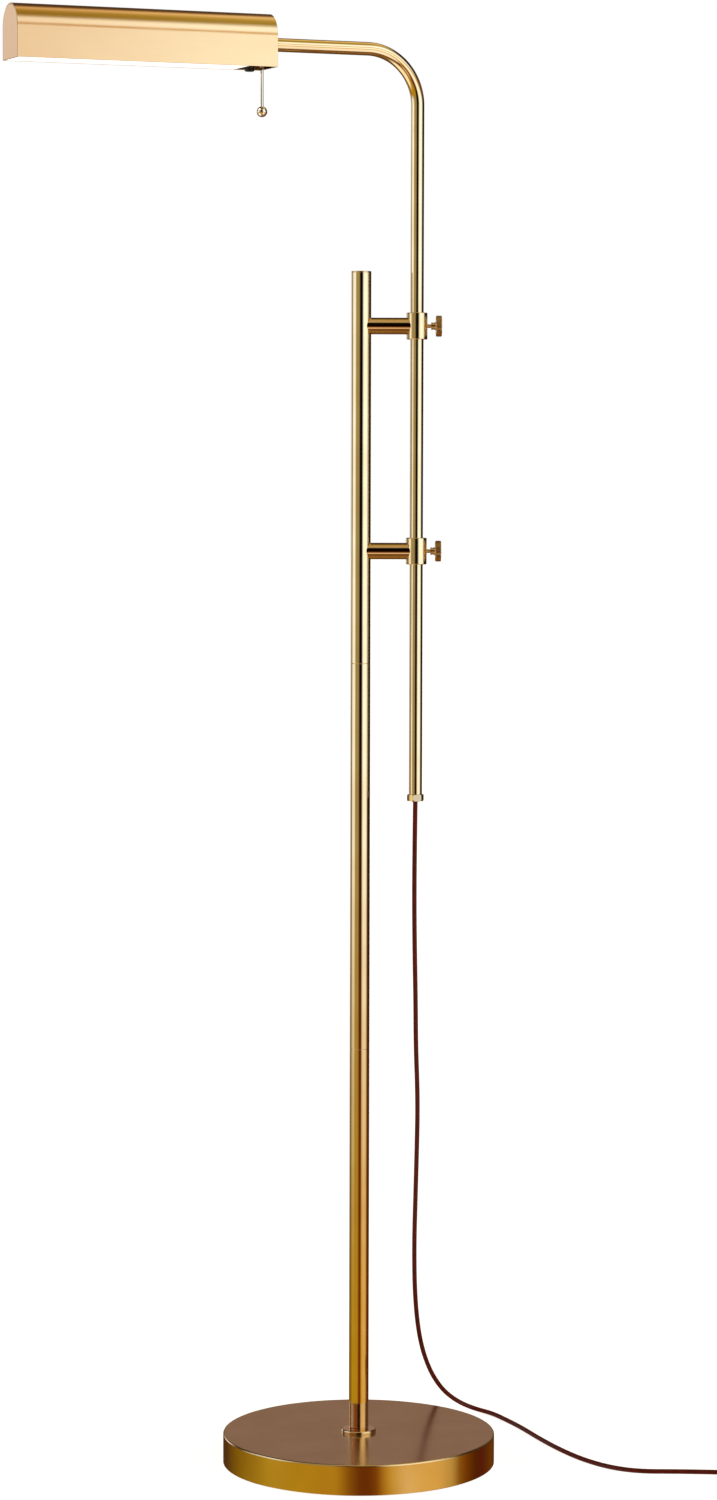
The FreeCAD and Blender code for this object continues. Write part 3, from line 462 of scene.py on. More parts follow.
def new_finish(name, **sockets):
    """Material with a Principled shader whose plain values are set on its own sockets."""
    finish = bpy.data.materials.new(name)
    finish.use_nodes = True
    tree = finish.node_tree
    tree.nodes.clear()
    shader = add(tree, "ShaderNodeBsdfPrincipled")
    for label, value in sockets.items():
        shader.inputs[label.replace("_", " ")].default_value = value
    add(tree, "ShaderNodeOutputMaterial", {"Surface": shader.outputs["BSDF"]})
    place = add(tree, "ShaderNodeTexCoord").outputs["Object"]
    return finish, tree, shader, place


def patterned(tree, shader, pattern, tones=None, gloss=None, relief=None):
    """Let one pattern carry a finish's two tones, its range of roughness and its relief in metres."""
    height = pattern.outputs["Fac"]
    level = add(tree, "ShaderNodeMapRange",
                {"Value": height, "From Min": 0.3, "From Max": 0.7}).outputs["Result"]
    if tones:
        blend = add(tree, "ShaderNodeMix", {0: level, 6: linear(tones[0]), 7: linear(tones[1])},
                    data_type="RGBA")
        tree.links.new(blend.outputs[2], shader.inputs["Base Color"])
    if gloss:
        spread = add(tree, "ShaderNodeMapRange", {"Value": level, "To Min": gloss[0], "To Max": gloss[1]})
        tree.links.new(spread.outputs["Result"], shader.inputs["Roughness"])
    if relief:
        bump = add(tree, "ShaderNodeBump", {"Height": height, "Distance": relief})
        tree.links.new(bump.outputs["Normal"], shader.inputs["Normal"])


def polished_brass(name, stretch):
    """Drawn brass tube, buffed to a mirror and lacquered: clear reflections, softened a little in
    patches by the lacquer, and faint draw lines along the tube."""
    finish, tree, shader, place = new_finish(name, Metallic=1.0)
    patches = add(tree, "ShaderNodeTexNoise", {"Vector": place, "Scale": 1 / (38 * MM), "Detail": 3.0})
    patterned(tree, shader, patches, tones=("#EAD3A6", "#F4E0B6"), gloss=(0.045, 0.09))
    along = add(tree, "ShaderNodeMapping", {"Vector": place, "Scale": stretch})
    # Draw lines are finer than 0.1 mm and are drawn 0.5 mm wide so that they show.
    lines = add(tree, "ShaderNodeTexNoise", {
        "Vector": along.outputs["Vector"], "Scale": 1 / (0.5 * MM), "Detail": 2.0})
    patterned(tree, shader, lines, relief=0.0025 * MM)
    return finish


def brushed_brass(name, turn):
    """Brass sheet brushed lengthwise to a satin and lacquered: blurred reflections drawn out across
    the brush lines, a little paler where the brush ran harder, with painted shade that deepens the tone
    towards the far end and painted light that pales it towards the near end."""
    finish, tree, shader, place = new_finish(name, Metallic=1.0)
    level = add(tree, "ShaderNodeMapping", {"Vector": place, "Rotation": turn})
    along = add(tree, "ShaderNodeMapping",
                {"Vector": level.outputs["Vector"], "Scale": (DRAWN_OUT, 1.0, 1.0)})
    # Brush lines are about 0.1 mm apart and are drawn 0.6 mm wide so that they show.
    lines = add(tree, "ShaderNodeTexNoise", {
        "Vector": along.outputs["Vector"], "Scale": 1 / (0.6 * MM), "Detail": 4.0})
    patterned(tree, shader, lines, tones=("#EED6AC", "#F4DEB8"), gloss=(0.16, 0.24), relief=0.006 * MM)
    patches = add(tree, "ShaderNodeTexNoise",
                  {"Vector": place, "Scale": 1 / (60 * MM), "Detail": 2.0}).outputs["Fac"]
    # Painted shade and light: the tone deepens towards the shade's far end and pales towards its near end,
    # mixed with random patches.
    length = add(tree, "ShaderNodeSeparateXYZ", {"Vector": level.outputs["Vector"]}).outputs["X"]
    painted_shade_and_patches = add(tree, "ShaderNodeMapRange", {"Value": length, "From Min": -0.35, "From Max": -0.13,
                                            "To Min": 0.0, "To Max": 0.8}).outputs["Result"]
    painted_shade_and_patches = add(tree, "ShaderNodeMath", {0: patches, 1: 0.3, 2: painted_shade_and_patches},
               operation="MULTIPLY_ADD").outputs["Value"]
    painted_shade_and_patch_tone = add(tree, "ShaderNodeMix", {0: painted_shade_and_patches, 6: linear("#E6D2C2"), 7: linear("#FFFCF6")},
                 data_type="RGBA")
    tone = add(tree, "ShaderNodeMix", {
        0: 1.0, 6: painted_shade_and_patch_tone.outputs[2], 7: shader.inputs["Base Color"].links[0].from_socket},
               data_type="RGBA", blend_type="MULTIPLY")
    tree.links.new(tone.outputs[2], shader.inputs["Base Color"])
    return finish


def turned_brass(name, centre, axis, gloss):
    """Brass turned on a lathe and polished: rings round the axis left by the tool, with soft lacquer."""
    finish, tree, shader, place = new_finish(name, Metallic=1.0)
    moved = add(tree, "ShaderNodeMapping", {"Vector": place, "Location": [-value for value in centre]})
    # Tool marks are about 0.15 mm apart and are drawn 1.1 mm apart so that they show.
    marks = add(tree, "ShaderNodeTexWave", {
        "Vector": moved.outputs["Vector"], "Scale": 1 / (1.1 * MM) / WAVES, "Distortion": 0.6, "Detail": 2.0,
        "Detail Scale": 0.4}, wave_type="RINGS", rings_direction=axis)
    patterned(tree, shader, marks, gloss=gloss, relief=0.0012 * MM)
    patches = add(tree, "ShaderNodeTexNoise", {"Vector": place, "Scale": 1 / (26 * MM), "Detail": 3.0})
    patterned(tree, shader, patches, tones=("#E8CFA0", "#F2DDB0"))
    return finish


def foot_brass():
    """Spun brass of the foot's cover: rings of fine tool marks, polished bright round the side and
    left duller on top, with a thin warm lacquer."""
    finish, tree, shader, place = new_finish("spun_brass_foot", Metallic=1.0)
    # Tool marks are about 0.2 mm apart and are drawn 1.4 mm apart so that they show.
    marks = add(tree, "ShaderNodeTexWave",
                {"Vector": place, "Scale": 1 / (1.4 * MM) / WAVES, "Distortion": 0.5,
                                            "Detail": 2.0}, wave_type="RINGS",
                                            rings_direction="Z")
    patterned(tree, shader, marks, relief=0.0012 * MM)
    patches = add(tree, "ShaderNodeTexNoise", {"Vector": place, "Scale": 1 / (45 * MM), "Detail": 3.0})
    patterned(tree, shader, patches, tones=("#E8CFA0", "#F2DDB0"))
    height = add(tree, "ShaderNodeSeparateXYZ", {"Vector": place}).outputs["Z"]
    top = box("base_cover")[1].z
    dull = add(tree, "ShaderNodeMapRange",
               {"Value": height, "From Min": top - 0.6 * MM, "From Max": top - 0.05 * MM,
                                            "To Min": 0.11, "To Max": 0.19}).outputs["Result"]
    rough = add(tree, "ShaderNodeMath", {0: marks.outputs["Fac"], 1: 0.03, 2: dull}, operation="MULTIPLY_ADD")
    tree.links.new(rough.outputs["Value"], shader.inputs["Roughness"])
    return finish


def cord_vinyl(name, dark, light):
    """Extruded soft vinyl: even colour with a waxy gloss, slightly mottled where it was handled."""
    finish, tree, shader, place = new_finish(name, IOR=1.5, Specular_IOR_Level=0.3)
    mottle = add(tree, "ShaderNodeTexNoise", {"Vector": place, "Scale": 1 / (9 * MM), "Detail": 4.0})
    patterned(tree, shader, mottle, tones=(dark, light), gloss=(0.36, 0.5))
    # The skin's own grain is about 0.2 mm.
    grain = add(tree, "ShaderNodeTexNoise", {"Vector": place, "Scale": 1 / (0.9 * MM), "Detail": 2.0})
    patterned(tree, shader, grain, relief=0.02 * MM)
    return finish


def opal_sheet():
    """Opal acrylic sheet, extruded with fine lengthwise ribs and lit evenly from behind."""
    finish, tree, shader, place = new_finish("opal_acrylic_sheet", IOR=1.49, Emission_Strength=1.15,
                                             Emission_Color=linear("#FFFDF8"))
    level = add(tree, "ShaderNodeMapping", {"Vector": place, "Rotation": HEAD_TURN})
    ribs = add(tree, "ShaderNodeTexWave", {
        "Vector": level.outputs["Vector"], "Scale": 1 / (1.6 * MM) / WAVES},
               wave_type="BANDS", bands_direction="Y")
    patterned(tree, shader, ribs, tones=("#F1F0EA", "#FBFAF6"), gloss=(0.22, 0.34), relief=0.08 * MM)
    return finish


def grained(name, tones, grain, relief, gloss, detail=4.0, **sockets):
    """Even finish with a grain, whose size and relief are in mm."""
    finish, tree, shader, place = new_finish(name, **sockets)
    pattern = add(tree, "ShaderNodeTexNoise", {"Vector": place, "Scale": 1 / (grain * MM), "Detail": detail})
    patterned(tree, shader, pattern, tones=tones, gloss=gloss, relief=relief * MM)
    return finish


HEAD_TURN = (0, 0, -SWIVEL)
BRASS_ARM = polished_brass("polished_brass_bracket", (DRAWN_OUT, 1.0, 1.0))
BRASS_FOOT = foot_brass()
KNOB_BRASS = {side: turned_brass("turned_brass_%s_knob" % side, middle(side + "_thumb_knob"), "X",
                                 (0.1, 0.18))
              for side in ("upper", "lower")}

FINISHES = {
    "polished_brass": polished_brass("polished_brass_tube", (1.0, 1.0, DRAWN_OUT)),
    "satin_brass": brushed_brass("brushed_satin_brass", HEAD_TURN),
    "turned_brass": turned_brass("turned_brass_fittings", (STEM_AXIS.x, STEM_AXIS.y, 0), "Z", (0.06, 0.1)),
    # Brass wire and ball with a thin bright nickel flash: paler than the tubes, and mirror smooth.
    "pale_brass": grained("nickel_flashed_brass", ("#EDE4D0", "#F6F0E2"), 4, 0, (0.05, 0.11), 3.0,
                          Metallic=1.0),
    "cord_plastic": cord_vinyl("brown_cord_vinyl", "#5C0E06", "#761608"),
    "plug_plastic": cord_vinyl("brown_plug_vinyl", "#4E120B", "#60180E"),
    # Black phenolic, moulded with a fine spark texture: a dull grain with small bright points.
    "black_plastic": grained("moulded_black_phenolic", ("#0B0A09", "#171513"), 0.5, 0.02, (0.32, 0.5), 2.0,
                             IOR=1.6),
    "opal_acrylic": opal_sheet(),
    # Zinc-plated steel hardware: a dull blue-grey crystal bloom.
    "zinc_steel": grained("zinc_plated_steel", ("#A9ADB1", "#C3C6C9"), 1.4, 0.01, (0.25, 0.42), Metallic=1.0),
    # Sand-cast grey iron, painted thinly: pebbled like the sand it was poured in.
    "cast_iron": grained("sand_cast_iron", ("#1F1E1D", "#35332F"), 1.8, 0.35, (0.55, 0.85), Metallic=0.4),
    # Pressed wool felt: short fibres with a soft nap.
    "felt": grained("pressed_wool_felt", ("#23241F", "#3A3B33"), 0.7, 0.3, (0.9, 1.0), Sheen_Weight=0.4),
    # Moulded nylon bushing, left as it came out of the mould.
    "nylon": grained("moulded_nylon", ("#14110E", "#231E19"), 0.8, 0.02, (0.35, 0.5), IOR=1.53),
    # Vulcanised fibre washer: dense reddish paper board with a faint sheen.
    "fibre": grained("vulcanised_fibre", ("#4A2114", "#5F2C1A"), 0.9, 0.03, (0.5, 0.65)),
    # Baked white enamel: a hard gloss with a slight orange peel.
    "white_enamel": grained("baked_white_enamel", ("#E8E6DF", "#F3F1EB"), 1.6, 0.02, (0.2, 0.3), IOR=1.5),
    # Screen-printed solder mask, resin dots and plain extruded aluminium inside the shade.
    "circuit_board": grained("white_solder_mask", ("#DFE2DD", "#ECEEEA"), 1.0, 0.01, (0.3, 0.42)),
    "light_chip": grained("phosphor_resin", ("#E6C03F", "#F2D461"), 0.8, 0.02, (0.25, 0.4)),
    "aluminium": grained("extruded_aluminium", ("#B4B6B8", "#CACCCE"), 1.0, 0.01, (0.3, 0.42), Metallic=1.0),
}


def dressed(piece, body, slot, *nodes, finish=None):
    """Give a piece its finish (the slot's own unless another is given), put it on its body and hide the CAD
    nodes that it stands for.
    """
    piece.data.materials.clear()
    piece.data.materials.append(finish or FINISHES[slot])
    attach(piece, body)
    if nodes:
        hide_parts(*nodes)
    return piece


def finish_cad_nodes():
    """Better materials on the CAD nodes that stay."""
    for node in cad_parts.values():
        for slot in node.material_slots:
            slot.material = FINISHES[slot.material.name.split(".")[0]]


# ---------------------------------------------------------------- the lamp's pieces

UPRIGHT = Matrix.Identity(4)
AT_STEM = Matrix.Translation((STEM_AXIS.x, STEM_AXIS.y, 0))


def make_foot():
    """Spun brass cover with a rolled edge, and the trim ring round the post."""
    low, high = box("base_cover")
    radius = high.x
    inside = radius - COVER_WALL
    cover = spun("foot_cover", [
        (STUD_HOLE, high.z, 0), (radius, high.z, COVER_EDGE), (radius, low.z, 0.4 * MM),
        (inside, low.z, 0.3 * MM),
        (inside, high.z - COVER_WALL, 0.8 * MM), (STUD_HOLE, high.z - COVER_WALL, 0)], UPRIGHT,
        round_steps=256)
    dressed(cover, "root", "polished_brass", "base_cover", finish=BRASS_FOOT)
    low, high = box("foot_ring")
    ring = spun("foot_trim_ring", [
        (STUD_HOLE, low.z, 0), (high.x, low.z, 0.15 * MM), (high.x, high.z, 1.3 * MM),
        (STUD_HOLE, high.z, 0)], UPRIGHT)
    dressed(ring, "root", "polished_brass", "foot_ring")


def make_post():
    """Three tubes with eased ends, so that their seams show, and the plug on top."""
    inside = POST_RADIUS - POST_WALL
    for node in ("post_lower", "post_middle", "post_upper"):
        low, high = box(node)
        tube = spun(node + "_tube", [
            (inside, low.z, TUBE_EDGE), (POST_RADIUS, low.z, TUBE_EDGE), (POST_RADIUS, high.z, TUBE_EDGE),
            (inside, high.z, TUBE_EDGE)], UPRIGHT)
        dressed(tube, "root", "polished_brass", node)
    low, high = box("post_top_plug")
    lip = box("post_upper")[1].z
    plug = spun("post_cap", [
        (0, high.z, 0), (POST_RADIUS, high.z, 0.6 * MM), (POST_RADIUS, lip, 0.15 * MM),
        (inside - FIT, lip, 0), (inside - FIT, low.z, 0.4 * MM), (0, low.z, 0)], UPRIGHT, closed=False)
    dressed(plug, "root", "polished_brass", "post_top_plug")


def make_bracket_arm(side):
    """Solid rod with both ends coped to the tubes that they meet."""
    low, high = box(side + "_bracket_arm")
    height = (low.z + high.z) / 2
    radius = (high.z - low.z) / 2
    caps = (0.0, 0.25, 0.5, 0.75, 0.9, 1.0)
    rings = []
    for end in ("post", "collar"):
        for part in caps if end == "post" else reversed(caps):
            ring = []
            for angle in round_angles(TURNS_ROUND):
                across = part * radius * sin(angle)
                if end == "post":
                    along = sqrt((POST_RADIUS + FIT) ** 2 - across ** 2)
                else:
                    along = STEM_AXIS.x - sqrt((COLLAR_RADIUS + FIT) ** 2 - across ** 2)
                ring.append(Vector((along, across, height + part * radius * cos(angle))))
            rings.append(ring)
    arm = loft(side + "_bracket_rod", rings)
    dressed(finished(arm, sharp=35), "root", "polished_brass", side + "_bracket_arm", finish=BRASS_ARM)


def make_collar(side):
    """Clamp collar bored for the stem."""
    low, high = box(side + "_collar")
    bore = STEM_RADIUS + FIT
    collar = spun(side + "_clamp_collar", [
        (bore, low.z, 0.4 * MM), (COLLAR_RADIUS, low.z, COLLAR_EDGE), (COLLAR_RADIUS, high.z, COLLAR_EDGE),
        (bore, high.z, 0.4 * MM)], AT_STEM)
    dressed(collar, "root", "polished_brass", side + "_collar", finish=FINISHES["turned_brass"])


def make_knob(side, ridges, thread):
    """Thumbscrew with a wound thread and its knurled knob."""
    body = side + "_knob"
    low, high = box(side + "_thumb_knob")
    screw_low, screw_high = box(side + "_thumb_screw")
    height = (low.z + high.z) / 2
    place = Matrix.Translation((0, STEM_AXIS.y, height)) @ ALONG_X
    shank = 1.9 * MM
    hub = 3.5 * MM
    disc = low.x + 4.6 * MM
    rim = high.z - height - KNURL_RIDGE
    thread_depth = 0.22 * MM
    core = shank - thread_depth
    wound = screw_high.x - screw_low.x - 1 * MM
    screw = spun(side + "_screw", [
        (0, screw_low.x, 0), (core, screw_low.x, 0.3 * MM), (core, screw_high.x, 0.1 * MM),
        (0, screw_high.x, 0)], place, closed=False, round_steps=32)
    grown(screw, thread, {
        "Turns": wound / (0.8 * MM), "Shank radius": core, "Thread radius": thread_depth, "Length": wound,
        "Place": (screw_low.x + 0.5 * MM, STEM_AXIS.y, height), "Turn": (0, pi / 2, 0),
        "Material": KNOB_BRASS[side]})
    dressed(screw, body, "turned_brass", side + "_thumb_screw", finish=KNOB_BRASS[side])
    socket = low.x + 2.35 * MM
    bore = shank + FIT
    knob = spun(side + "_knurled_knob", [
        (0, high.x - 0.7 * MM, 0), (5.6 * MM, high.x - 0.7 * MM, 0.5 * MM), (6.6 * MM, high.x, 0.4 * MM),
        (rim, high.x, 0.5 * MM), (rim, disc, 0.5 * MM), (hub + 0.6 * MM, disc, 0.5 * MM),
        (hub, disc - 0.8 * MM, 0.3 * MM), (hub, disc - 2.0 * MM, 0.15 * MM),
        (hub - 0.35 * MM, disc - 2.2 * MM, 0.1 * MM),
        (hub - 0.35 * MM, disc - 2.8 * MM, 0.1 * MM), (hub, disc - 3.0 * MM, 0.15 * MM),
        (hub, low.x, 0.3 * MM), (bore, low.x, 0), (bore, socket, 0), (0, socket, 0)], place, closed=False)
    grown(knob, ridges, {
        "Count": KNURL_COUNT, "Rim radius": rim, "Ridge radius": KNURL_RIDGE,
        "Ridge length": high.x - disc - 1.0 * MM,
        "Place": ((high.x + disc) / 2, STEM_AXIS.y, height), "Turn": (0, pi / 2, 0),
        "Material": KNOB_BRASS[side]})
    dressed(knob, body, "turned_brass", side + "_thumb_knob", finish=KNOB_BRASS[side])


def make_stem():
    """Bent stem tube: straight, a quarter bend, and the arm."""
    low = box("stem_tube")[0].z
    end = head_box("stem_tube")[1].x
    rise = ARM_HEIGHT - BEND_RADIUS - low
    bend = BEND_RADIUS * pi / 2
    length = rise + bend + end - BEND_RADIUS

    def frame_at(distance):
        """Centre of the tube and the way outwards from the bend's inside, in the head's space."""
        if distance <= rise:
            return Vector((0, 0, low - ARM_HEIGHT + distance)), Vector((1, 0, 0))
        if distance <= rise + bend:
            angle = (distance - rise) / BEND_RADIUS
            inward = Vector((cos(angle), 0, -sin(angle)))
            return Vector((BEND_RADIUS, 0, -BEND_RADIUS)) - inward * BEND_RADIUS, inward
        return Vector((BEND_RADIUS + distance - rise - bend, 0, 0)), Vector((0, 0, -1))

    stops = [rise + bend * step / 40 for step in range(41)]
    outer = [(0, -TUBE_EDGE), (TUBE_EDGE / 3, -TUBE_EDGE / 3), (TUBE_EDGE, 0)] + [(stop, 0) for stop in stops]
    outer += [(length - TUBE_EDGE, 0), (length - TUBE_EDGE / 3, -TUBE_EDGE / 3), (length, -TUBE_EDGE)]
    inner = [(length, -STEM_WALL)] + [(stop, -STEM_WALL) for stop in reversed(stops)] + [(0, -STEM_WALL)]
    rings = []
    for distance, change in outer + inner:
        centre, inward = frame_at(distance)
        radius = STEM_RADIUS + change
        rings.append([HEAD @ (centre + radius * (inward * cos(angle) + Vector((0, sin(angle), 0))))
                      for angle in round_angles(72)])
    stem = loft("bent_stem", rings, closed=True)
    dressed(finished(stem), "stem", "polished_brass", "stem_tube")


def make_end_nut():
    """Hexagon nut with turned corners, its spigot in the stem, and the bushing in its bore."""
    low, high = box("stem_end_nut")
    head_top = box("stem_tube")[0].z
    corner = (high.x - low.x) / 2
    flat = corner * cos(pi / 6)
    bore = 3.25 * MM
    spigot = STEM_RADIUS - STEM_WALL - FIT
    levels = [(low.z, 0.93), (low.z + 0.3 * MM, 0.965), (low.z + 0.7 * MM, 0.99), (low.z + 1.2 * MM, 1.0),
              (head_top - 1.0 * MM, 1.0), (head_top - 0.5 * MM, 0.985), (head_top - 0.2 * MM, 0.965),
              (head_top, 0.93)]
    rings = []
    for height, part in levels:
        ring = []
        for angle in round_angles(TURNS_ROUND):
            side = flat / cos((angle % (pi / 3)) - pi / 6)
            radius = min(side, corner * part)
            ring.append(AT_STEM @ Vector((radius * cos(angle + NUT_TURN),
                                          radius * sin(angle + NUT_TURN), height)))
        rings.append(ring)
    for radius, height in ((spigot, head_top), (spigot, high.z), (bore, high.z), (bore, low.z)):
        rings.append([AT_STEM @ Vector((radius * cos(angle), radius * sin(angle), height))
                      for angle in round_angles(TURNS_ROUND)])
    nut = loft("stem_hex_nut", rings, closed=True)
    dressed(finished(nut, sharp=28), "stem", "turned_brass", "stem_end_nut")
    low, high = box("cord_bushing")
    inside = CORD_RADIUS + FIT
    outside = 3.2 * MM
    flange = (high.x - low.x) / 2
    bushing = spun("cord_exit_bushing", [
        (inside, low.z, 0.35 * MM), (outside, low.z, 0.35 * MM), (outside, high.z - 1.6 * MM, 0),
        (flange, high.z - 1.6 * MM, 0.3 * MM), (flange, high.z, 0.3 * MM), (inside, high.z, 0.4 * MM)],
        AT_STEM,
        round_steps=48)
    dressed(bushing, "cord_swivel", "nylon", "cord_bushing")


def arch(width, bottom, shoulder, edge):
    """Outline of an arch: straight sides and a half-round top."""
    half = width / 2
    return [(-half, bottom, edge), (-half, shoulder + half, half), (half, shoulder + half, half),
            (half, bottom, edge)]


def make_shade():
    """Arched sheet shell, its two end caps, the washer at its pivot and the opal sheet."""
    low, high = head_box("shade_shell")
    width = high.y - low.y
    shoulder = high.z - width / 2
    outer = arch(width, low.z, shoulder, 0.3 * MM)
    inner = arch(width - 2 * SHADE_WALL, low.z, shoulder, 0.3 * MM)
    shell = pulled("shade_arch", softened(outer + inner[::-1]), HEAD, low.x, high.x)
    dressed(finished(shell, sharp=50, bevel=SHEET_EDGE), "shade", "satin_brass", "shade_shell")
    cap_width = width - 2 * SHADE_WALL - 0.1 * MM
    for node, name in (("shade_near_cap", "shade_near_end"), ("shade_far_cap", "shade_far_end")):
        start, end = head_box(node)
        cap = pulled(name, softened(arch(cap_width, low.z, shoulder, 0.8 * MM)), HEAD, start.x, end.x)
        dressed(finished(cap, sharp=50, bevel=SHEET_EDGE), "shade", "satin_brass", node)
    start, end = head_box("friction_washer")
    place = HEAD @ ALONG_X
    washer = spun("pivot_washer", [
        (WASHER_BORE, start.x, 0), (WASHER_RADIUS, start.x, 0.25 * MM), (WASHER_RADIUS, end.x, 0.25 * MM),
        (WASHER_BORE, end.x, 0)], place)
    dressed(washer, "stem", "fibre", "friction_washer")
    start, end = head_box("diffuser")
    sheet = block("opal_diffuser", start, end, HEAD, 0.5 * MM)
    dressed(sheet, "shade", "opal_acrylic", "diffuser")


def make_switch():
    """Moulded switch with a threaded boss and a nose, and what hangs from it."""
    low, high = head_box("pull_switch")
    shade_low = head_box("shade_shell")[0]
    case_low = Vector((shade_low.x + 12.5 * MM, low.y, shade_low.z + 1 * MM))
    case = block("switch_case", case_low, high, HEAD, 0.8 * MM)
    half_nose = 2.8 * MM
    nose = block("switch_nose", Vector((low.x, -half_nose, shade_low.z + 8.5 * MM)),
                 Vector((case_low.x + 0.5 * MM, half_nose, shade_low.z + 13.6 * MM)), HEAD, 0.4 * MM)
    centre = Vector(((case_low.x + high.x) / 2, 0, 0))
    crest, root, thread_edge = 4.6 * MM, 4.2 * MM, 0.1 * MM
    outline = [(0, low.z, 0), (3.6 * MM, low.z, 0.3 * MM)]
    for step in range(3):
        height = low.z + (0.5 + step) * MM
        outline += [(crest, height, thread_edge), (crest, height + 0.45 * MM, thread_edge),
                    (root, height + 0.6 * MM, thread_edge), (root, height + 0.85 * MM, thread_edge)]
    outline += [(crest, case_low.z, 0), (crest, case_low.z + 1 * MM, 0), (0, case_low.z + 1 * MM, 0)]
    boss = spun("switch_boss", outline, HEAD @ Matrix.Translation(centre), closed=False, round_steps=48)
    switch = joined("switch_body", [case, nose, boss])
    dressed(switch, "shade", "black_plastic", "pull_switch")
    rod_low, rod_high = head_box("pull_rod")
    axis = (rod_low.x + rod_high.x) / 2
    ball_low, ball_high = head_box("pull_ball")
    radius = (ball_high.x - ball_low.x) / 2
    place = HEAD @ Matrix.Translation((axis, 0, 0))
    rod_radius = 1.55 * MM
    eye_radius = 1.5 * MM
    eye_wire = 0.6 * MM
    eye_height = rod_high.z - eye_radius - eye_wire
    rod = spun("pull_rod_shaft", [
        (0, rod_low.z, 0), (rod_radius, rod_low.z, 0), (rod_radius, eye_height - eye_radius, 0.5 * MM),
        (0, eye_height - eye_radius, 0)], place, closed=False, round_steps=48)
    eye = wire_ring("pull_rod_eye", (0, 0, eye_height), eye_radius, eye_wire, place)
    dressed(joined("pull_rod_and_eye", [rod, finished(eye)]), "pull_rod_body", "pale_brass", "pull_rod")
    centre_height = ball_low.z + radius
    outline = []
    for step in range(33):
        angle = pi * step / 32
        outline.append(Vector((radius * sin(angle), centre_height - radius * cos(angle))))
    neck = 1.9 * MM
    outline = [point for point in outline if point.y < centre_height or point.x > neck]
    top = centre_height + sqrt(radius ** 2 - neck ** 2)
    outline += [Vector((neck, top + 0.25 * MM)), Vector((1.6 * MM, top + 0.35 * MM)),
                Vector((1.6 * MM, top - 1 * MM)),
                Vector((0, top - 1 * MM))]
    ball = turned("pull_ball_turned", outline, place, closed=False, round_steps=64)
    dressed(finished(ball), "pull_rod_body", "pale_brass", "pull_ball")
    plunger_low, plunger_high = head_box("switch_plunger")
    eye = wire_ring("plunger_eye", (0, 0, plunger_low.z + 1.8 * MM), 1.3 * MM, 0.5 * MM, place)
    foot, shaft_radius = plunger_low.z + 3.1 * MM, 0.95 * MM
    shaft = spun("plunger_shaft", [
        (0, foot, 0), (shaft_radius, foot, 0.3 * MM), (shaft_radius, plunger_high.z, 0.2 * MM),
        (0, plunger_high.z, 0)], place, closed=False, round_steps=32)
    plunger = joined("plunger_and_eye", [finished(eye), shaft])
    dressed(plunger, "switch_plunger_body", "pale_brass", "switch_plunger")
    link_low, link_high = head_box("pull_link")
    link = wire_ring("pull_link_ring", (0, 0, (link_low.z + link_high.z) / 2), 2.0 * MM, 0.45 * MM, place,
                     facing="X")
    dressed(finished(link), "pull_link_body", "pale_brass", "pull_link")


def make_plug(ribs):
    """Moulded plug with a waisted body, ribbed strain relief and flat blades."""
    low, high = box("plug_body")
    centre = (low + high) / 2
    place = Matrix.Translation((centre.x, 0, centre.z))
    half_width, half_height = (high.x - low.x) / 2, (high.z - low.z) / 2
    sections = ((0, 0.62, 0.84), (0.7, 0.68, 0.92), (2.5, 0.76, 0.98), (7, 0.84, 1.0), (14, 0.88, 1.0),
                (21, 0.95, 1.0),
                (26, 1.0, 1.0), (28.6, 1.0, 1.0), (29.6, 0.97, 0.95), (30, 0.9, 0.88))
    edge = 2.8 * MM
    rings = []
    for distance, wide, tall in sections:
        across, up = half_width * wide, half_height * tall
        outline = softened([(-across, -up, edge), (across, -up, edge), (across, up, edge),
                            (-across, up, edge)])
        rings.append([place @ Vector((point.x, low.y + distance * MM, point.y)) for point in outline])
    body = loft("plug_moulding", rings)
    ridges = []
    for side in (-1, 1):
        for step in range(5):
            y = low.y + (9 + 2.6 * step) * MM
            inner, outer = sorted((side * (half_height - 0.35 * MM), side * (half_height - 0.02 * MM)))
            ridge_low = Vector((-6 * MM, y, inner))
            ridge_high = Vector((6 * MM, y + 1.2 * MM, outer))
            ridges.append(block("grip_ridge", ridge_low, ridge_high, place, 0.15 * MM))
    body = joined("plug_moulding_grip", [finished(body, sharp=50)] + ridges)
    dressed(body, "root", "plug_plastic", "plug_body")
    low, high = box("plug_relief")
    place = Matrix.Translation((centre.x, 0, centre.z)) @ ALONG_Y
    bore = CORD_RADIUS + FIT
    tip, root = 3.0 * MM, 4.7 * MM
    relief = spun("plug_strain_relief", [
        (bore, low.y, 0.2 * MM), (tip, low.y, 0.3 * MM), (root, high.y, 0), (bore, high.y, 0)], place,
        round_steps=48)
    grown(relief, ribs, {
        "Count": 6, "Spacing": 2.5 * MM, "Ring radius": tip + 0.05 * MM, "Rib radius": 0.45 * MM,
        "Growth": 0.082,
        "Place": (centre.x, low.y + 1.4 * MM, centre.z), "Turn": (-pi / 2, 0, 0),
        "Material": FINISHES["plug_plastic"]})
    dressed(relief, "root", "plug_plastic", "plug_relief")
    low, high = box("plug_blades")
    blades = []
    thick = 1.5 * MM
    for x in (low.x, high.x - thick):
        blades.append(block("blade", Vector((x, low.y, low.z)), Vector((x + thick, high.y, high.z)), UPRIGHT,
                            0.35 * MM))
    dressed(joined("plug_blade_pair", blades), "root", "pale_brass", "plug_blades")
    return [body, relief]


def make_cord():
    """The free cord, in place of the CAD cord, coil and tail."""
    cord, path = make_cord_line()
    cord.data.materials.clear()
    cord.data.materials.append(FINISHES["cord_plastic"])
    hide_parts("power_cord", "cord_coil", "cord_tail")
    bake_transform(cord)


